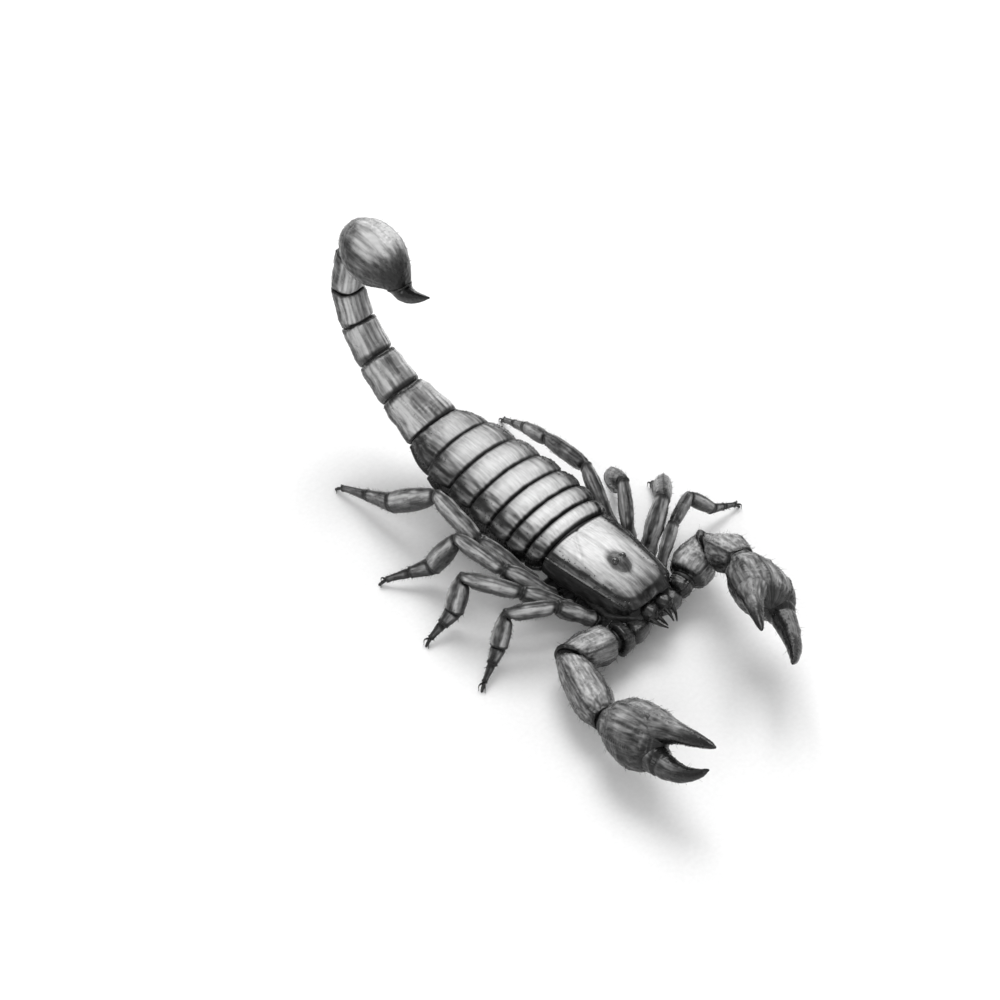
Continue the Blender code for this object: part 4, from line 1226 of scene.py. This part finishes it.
def carve_hand(side):
    hand = f"claw_{side}_hand"
    skin = skin_of(hand, f"claw_{side}_patella", 132, 160)
    grains = (0.4 + 0.6 * skin.beads(0.75)) * fade(skin.run, 1.2, 4.0) * fade(skin.rest, 0.0, 2.0)
    keels = [(turn, 0.24) for turn in (-128, -72, -36, -4, 34, 78, 132)]
    ridges, swell = skin.ridges(keels, 0.42, grains)
    swell += 0.05 * skin.rough(0.8) + 0.16 * skin.rough(2.4, 4.0) + 0.2 * skin.rough(5.0, 9.0)
    swell += 0.3 * bump(skin.run, 1.0, 0.5)
    swell -= 0.3 * bump(skin.run, 2.0, 0.5)
    swell -= 0.7 * (1 - fade(skin.rest, 0, 2.4)) ** 2
    skin.swell(swell)
    # Painted light: a painted highlight on the upper side of the hand and painted shade beneath; the keels
    # and ends are darker too.
    off = skin.turn + 9 * skin.rough(3.0, 2.0)
    tone = np.interp(abs(off), [0, 30, 60, 84, 106, 134, 180], [0.52, 0.6, 0.46, 0.26, 0.1, 0.06, 0.12])
    tone = tone + 0.15 * skin.streaks(0.6) + 0.06 * skin.rough(4.0, 1.0)
    tone = tone * (1 - 0.3 * ridges) * skin.ends((0.2, 2.4, 0), (0.1, 1.4, 0.6))
    domed = [(0.9, 0.45), (0.72, 0.95), (0.4, 1.35), (0, 1.5)]
    add_shell(
        hand + "_shell", skin, tone, claw_finish, "claw_plate", [hand],
        caps=(DISHED, domed), hairy=0.3 + 0.25 * ridges, group="claws",
    )
    fingers = {}
    for label in ("fixed", "free"):
        node = f"claw_{side}_{label}_finger"
        fingers[label] = skin_of(node, hand, 150, 80, start=-0.14)
    for label, other, deep in (("fixed", "free", 0.8), ("free", "fixed", 0.4)):
        node = f"claw_{side}_{label}_finger"
        skin = fingers[label]
        share = skin.share
        row = 40  # about a quarter of the way along, where the other finger's side is read
        towards = fingers[other].middle[row] - skin.middle[row]
        towards = unit(towards - skin.aim[row] * (towards @ skin.aim[row]))
        facing = (unit(skin.rows - skin.middle[:, None]) * towards).sum(axis=2)
        swell = deep * bump(skin.run, 0, 3.4)
        swell = swell + 0.03 * skin.rough(0.7) + 0.08 * skin.rough(2.4, 4.0)
        if label == "free":
            swell = swell + 0.2 * bump(skin.run, 3.0, 0.7)
            swell = swell - 0.2 * bump(skin.run, 4.3, 0.6)
        swell = swell - 0.18 * fade(facing, 0.4, 0.9) * (1 - share)
        groove = bump(abs(facing), 0.1, 0.09)
        groove = groove * fade(share, 0.08, 0.2) * (1 - fade(share, 0.75, 0.95))
        skin.swell(swell - 0.14 * groove * (1 - share))
        # Painted light: a painted highlight on top and painted shade beneath; the fingers also darken
        # towards their tips and on the side facing each other.
        tone = skin.toned(5, 2.6, [0, 30, 64, 90, 120, 180], [0.5, 0.58, 0.42, 0.2, 0.08, 0.12])
        tone = tone + 0.13 * skin.streaks(0.5)
        tone = tone * (1 - 0.85 * fade(share, 0.35, 0.85)) * (1 - 0.5 * groove)
        if label == "free":
            tone = tone * (0.3 + 0.7 * fade(abs(skin.run - 3.4), 0.4, 1.5))
        tone = tone * (1 - 0.6 * fade(facing, 0.5, 0.9))
        add_shell(
            node + "_shell", skin, tone, claw_finish, "claw_plate", [node],
            caps=(ROUNDED, FINE_TIP), hairy=0.3 * (1 - share), group="claws",
        )
        edge, rows = skin.edge(facing, 2.2, 0.9)
        sizes = np.linspace(1.0, 0.6, len(edge))
        outward = np.tile(towards, (len(edge), 1))
        beside = np.cross(skin.aim[rows], outward)
        add_pegs(
            f"claw_{side}_{label}_fine_teeth", [(edge - 0.03 * outward, outward, sizes)],
            sting_finish, [node], Pitch=0.34 * MM, Girth=0.16 * MM, Height=0.22 * MM,
            Tip_Share=0.3, Unevenness=0.3, Seed=7,
        )
        pairs = [
            (edge + sign * 0.36 * beside - 0.12 * outward, outward + sign * 0.5 * beside, sizes)
            for _, sign in SIDES
        ]
        add_pegs(
            f"claw_{side}_{label}_guard_teeth", pairs, sting_finish, [node], Pitch=2.3 * MM,
            Girth=0.26 * MM, Height=0.42 * MM, Tip_Share=0.12, Unevenness=0.15, Seed=9,
        )


for side, _ in SIDES:
    carve_arm(side)
    carve_hand(side)


# ---- Soft joints ----------------------------------------------------------------------------
# Between one hard tube and the next is a sleeve of dark folded skin, where the living animal bends. It fills
# the narrow gap and goes a little way inside both tubes.

CHAINS = [("tail_plate", ["trunk_7", *(f"tail_{k}" for k in range(1, 6)), "vesicle"])]
for side, _ in SIDES:
    for pair in range(1, 5):
        leg = [f"leg_{side}_{pair}_{label}" for label in ("femur", "patella", "shank")]
        CHAINS.append(("limb_plate", leg))
for side, _ in SIDES:
    arm = [f"claw_{side}_{label}" for label in ("trochanter", "femur", "patella", "hand")]
    CHAINS.append(("claw_plate", arm))
CHAINS.append(("back_plate", ["head_shield", *(f"trunk_{k}" for k in range(1, 8))]))


def sleeve(before, node):
    """A short closed bellows over the gap between two tubes, shaped like the start of the second."""
    rings = in_order(rings_of(node, before))
    ring = round_curve(rings[0], 64)
    middle = ring.mean(axis=0)
    facing = np.linalg.svd(ring - middle)[2][2]
    facing = facing * np.sign(facing @ (rings[1].mean(axis=0) - middle))
    folds = [
        (-1.0, 0.6), (-0.75, 0.78), (-0.5, 0.85), (-0.3, 0.9), (-0.15, 0.87), (0, 0.9), (0.15, 0.87),
        (0.3, 0.85), (0.5, 0.78), (0.8, 0.6),
    ]
    rows = [middle + (ring - middle) * girth + facing * height for height, girth in folds]
    return Skin(np.array(rows))


for slot, chain in CHAINS:
    for before, node in zip(chain, chain[1:]):
        fold = sleeve(before, node)
        add_shell(f"{node}_sleeve", fold, 0.25 + 0.2 * fold.rough(0.8), skin_finish, slot, [])


# ---- Bristles and granules ------------------------------------------------------------------
# Stiff dark hairs stand on the feet, the claws, the tail and the belly side, and hard grains
# roughen the flanks of the back plates. Each kind is set at random, with a fixed seed.


def bristle_tree():
    """Hairs spread over a surface by its "hairy" layer, leaning the way its "lean" layer says."""
    given, add, layer, maths, chance, grow_on = growing_tree(
        "bristles", "Density", "Shortest", "Longest", "Lean"
    )
    points = add("GeometryNodeDistributePointsOnFaces", {"distribute_method": "RANDOM"}, {
        "Mesh": given["Surface"], "Density": maths("MULTIPLY", layer("hairy"), given["Density"]),
        "Seed": given["Seed"],
    })
    lean = add("ShaderNodeVectorMath", {"operation": "SCALE"}, {
        "Vector": layer("lean", "FLOAT_VECTOR"), "Scale": given["Lean"],
    })
    jitter = add("FunctionNodeRandomValue", {"data_type": "FLOAT_VECTOR"}, {
        "Min": (-0.35, -0.35, -0.35), "Max": (0.35, 0.35, 0.35), "Seed": given["Seed"],
    })
    way = maths("ADD", points.node.outputs["Normal"], lean, "VectorMath")
    way = maths("ADD", way, jitter, "VectorMath")
    return grow_on(points, 1, way, chance(given["Shortest"], given["Longest"]))


bristles = bristle_tree()
hair_finish = shell_finish("bristle_horn", [(0.1, 0.006), (0.6, 0.05)], 0.35, 0.5, 0.004)
for group, slot, density, girth, shortest, longest, lean_share, sides, tip in (
    ("trunk", "back_plate", 0.35e6, 0.035, 0.3, 0.8, 0.8, 4, 0.12),
    ("tail", "tail_plate", 0.5e6, 0.035, 0.5, 1.5, 0.8, 4, 0.12),
    ("legs", "limb_plate", 1.1e6, 0.035, 0.35, 0.95, 0.8, 4, 0.12),
    ("claws", "claw_plate", 0.55e6, 0.04, 0.5, 1.7, 0.8, 4, 0.12),
    ("grains", "back_plate", 1.6e6, 0.15, 0.12, 0.2, 0.1, 7, 0.45),
):
    points, faces, hairy, lean, start = [], [], [], [], 0
    for some_points, some_faces, some_hairy, some_lean in grown[group]:
        points.append(some_points)
        faces += [[corner + start for corner in face] for face in some_faces]
        hairy.append(some_hairy * (some_points[:, 2] > longest + 0.05))
        lean.append(some_lean)
        start += len(some_points)
    name = "back_grains" if group == "grains" else f"bristles_{group}"
    grow(
        name, bristles, np.concatenate(points), faces, [],
        {"hairy": np.concatenate(hairy), "lean": np.concatenate(lean)}, hair_finish, slot, [],
        Density=density, Girth=girth * MM, Shortest=shortest * MM, Longest=longest * MM,
        Lean=lean_share, Seed=3, Sides=sides, Tip_Share=tip,
    )
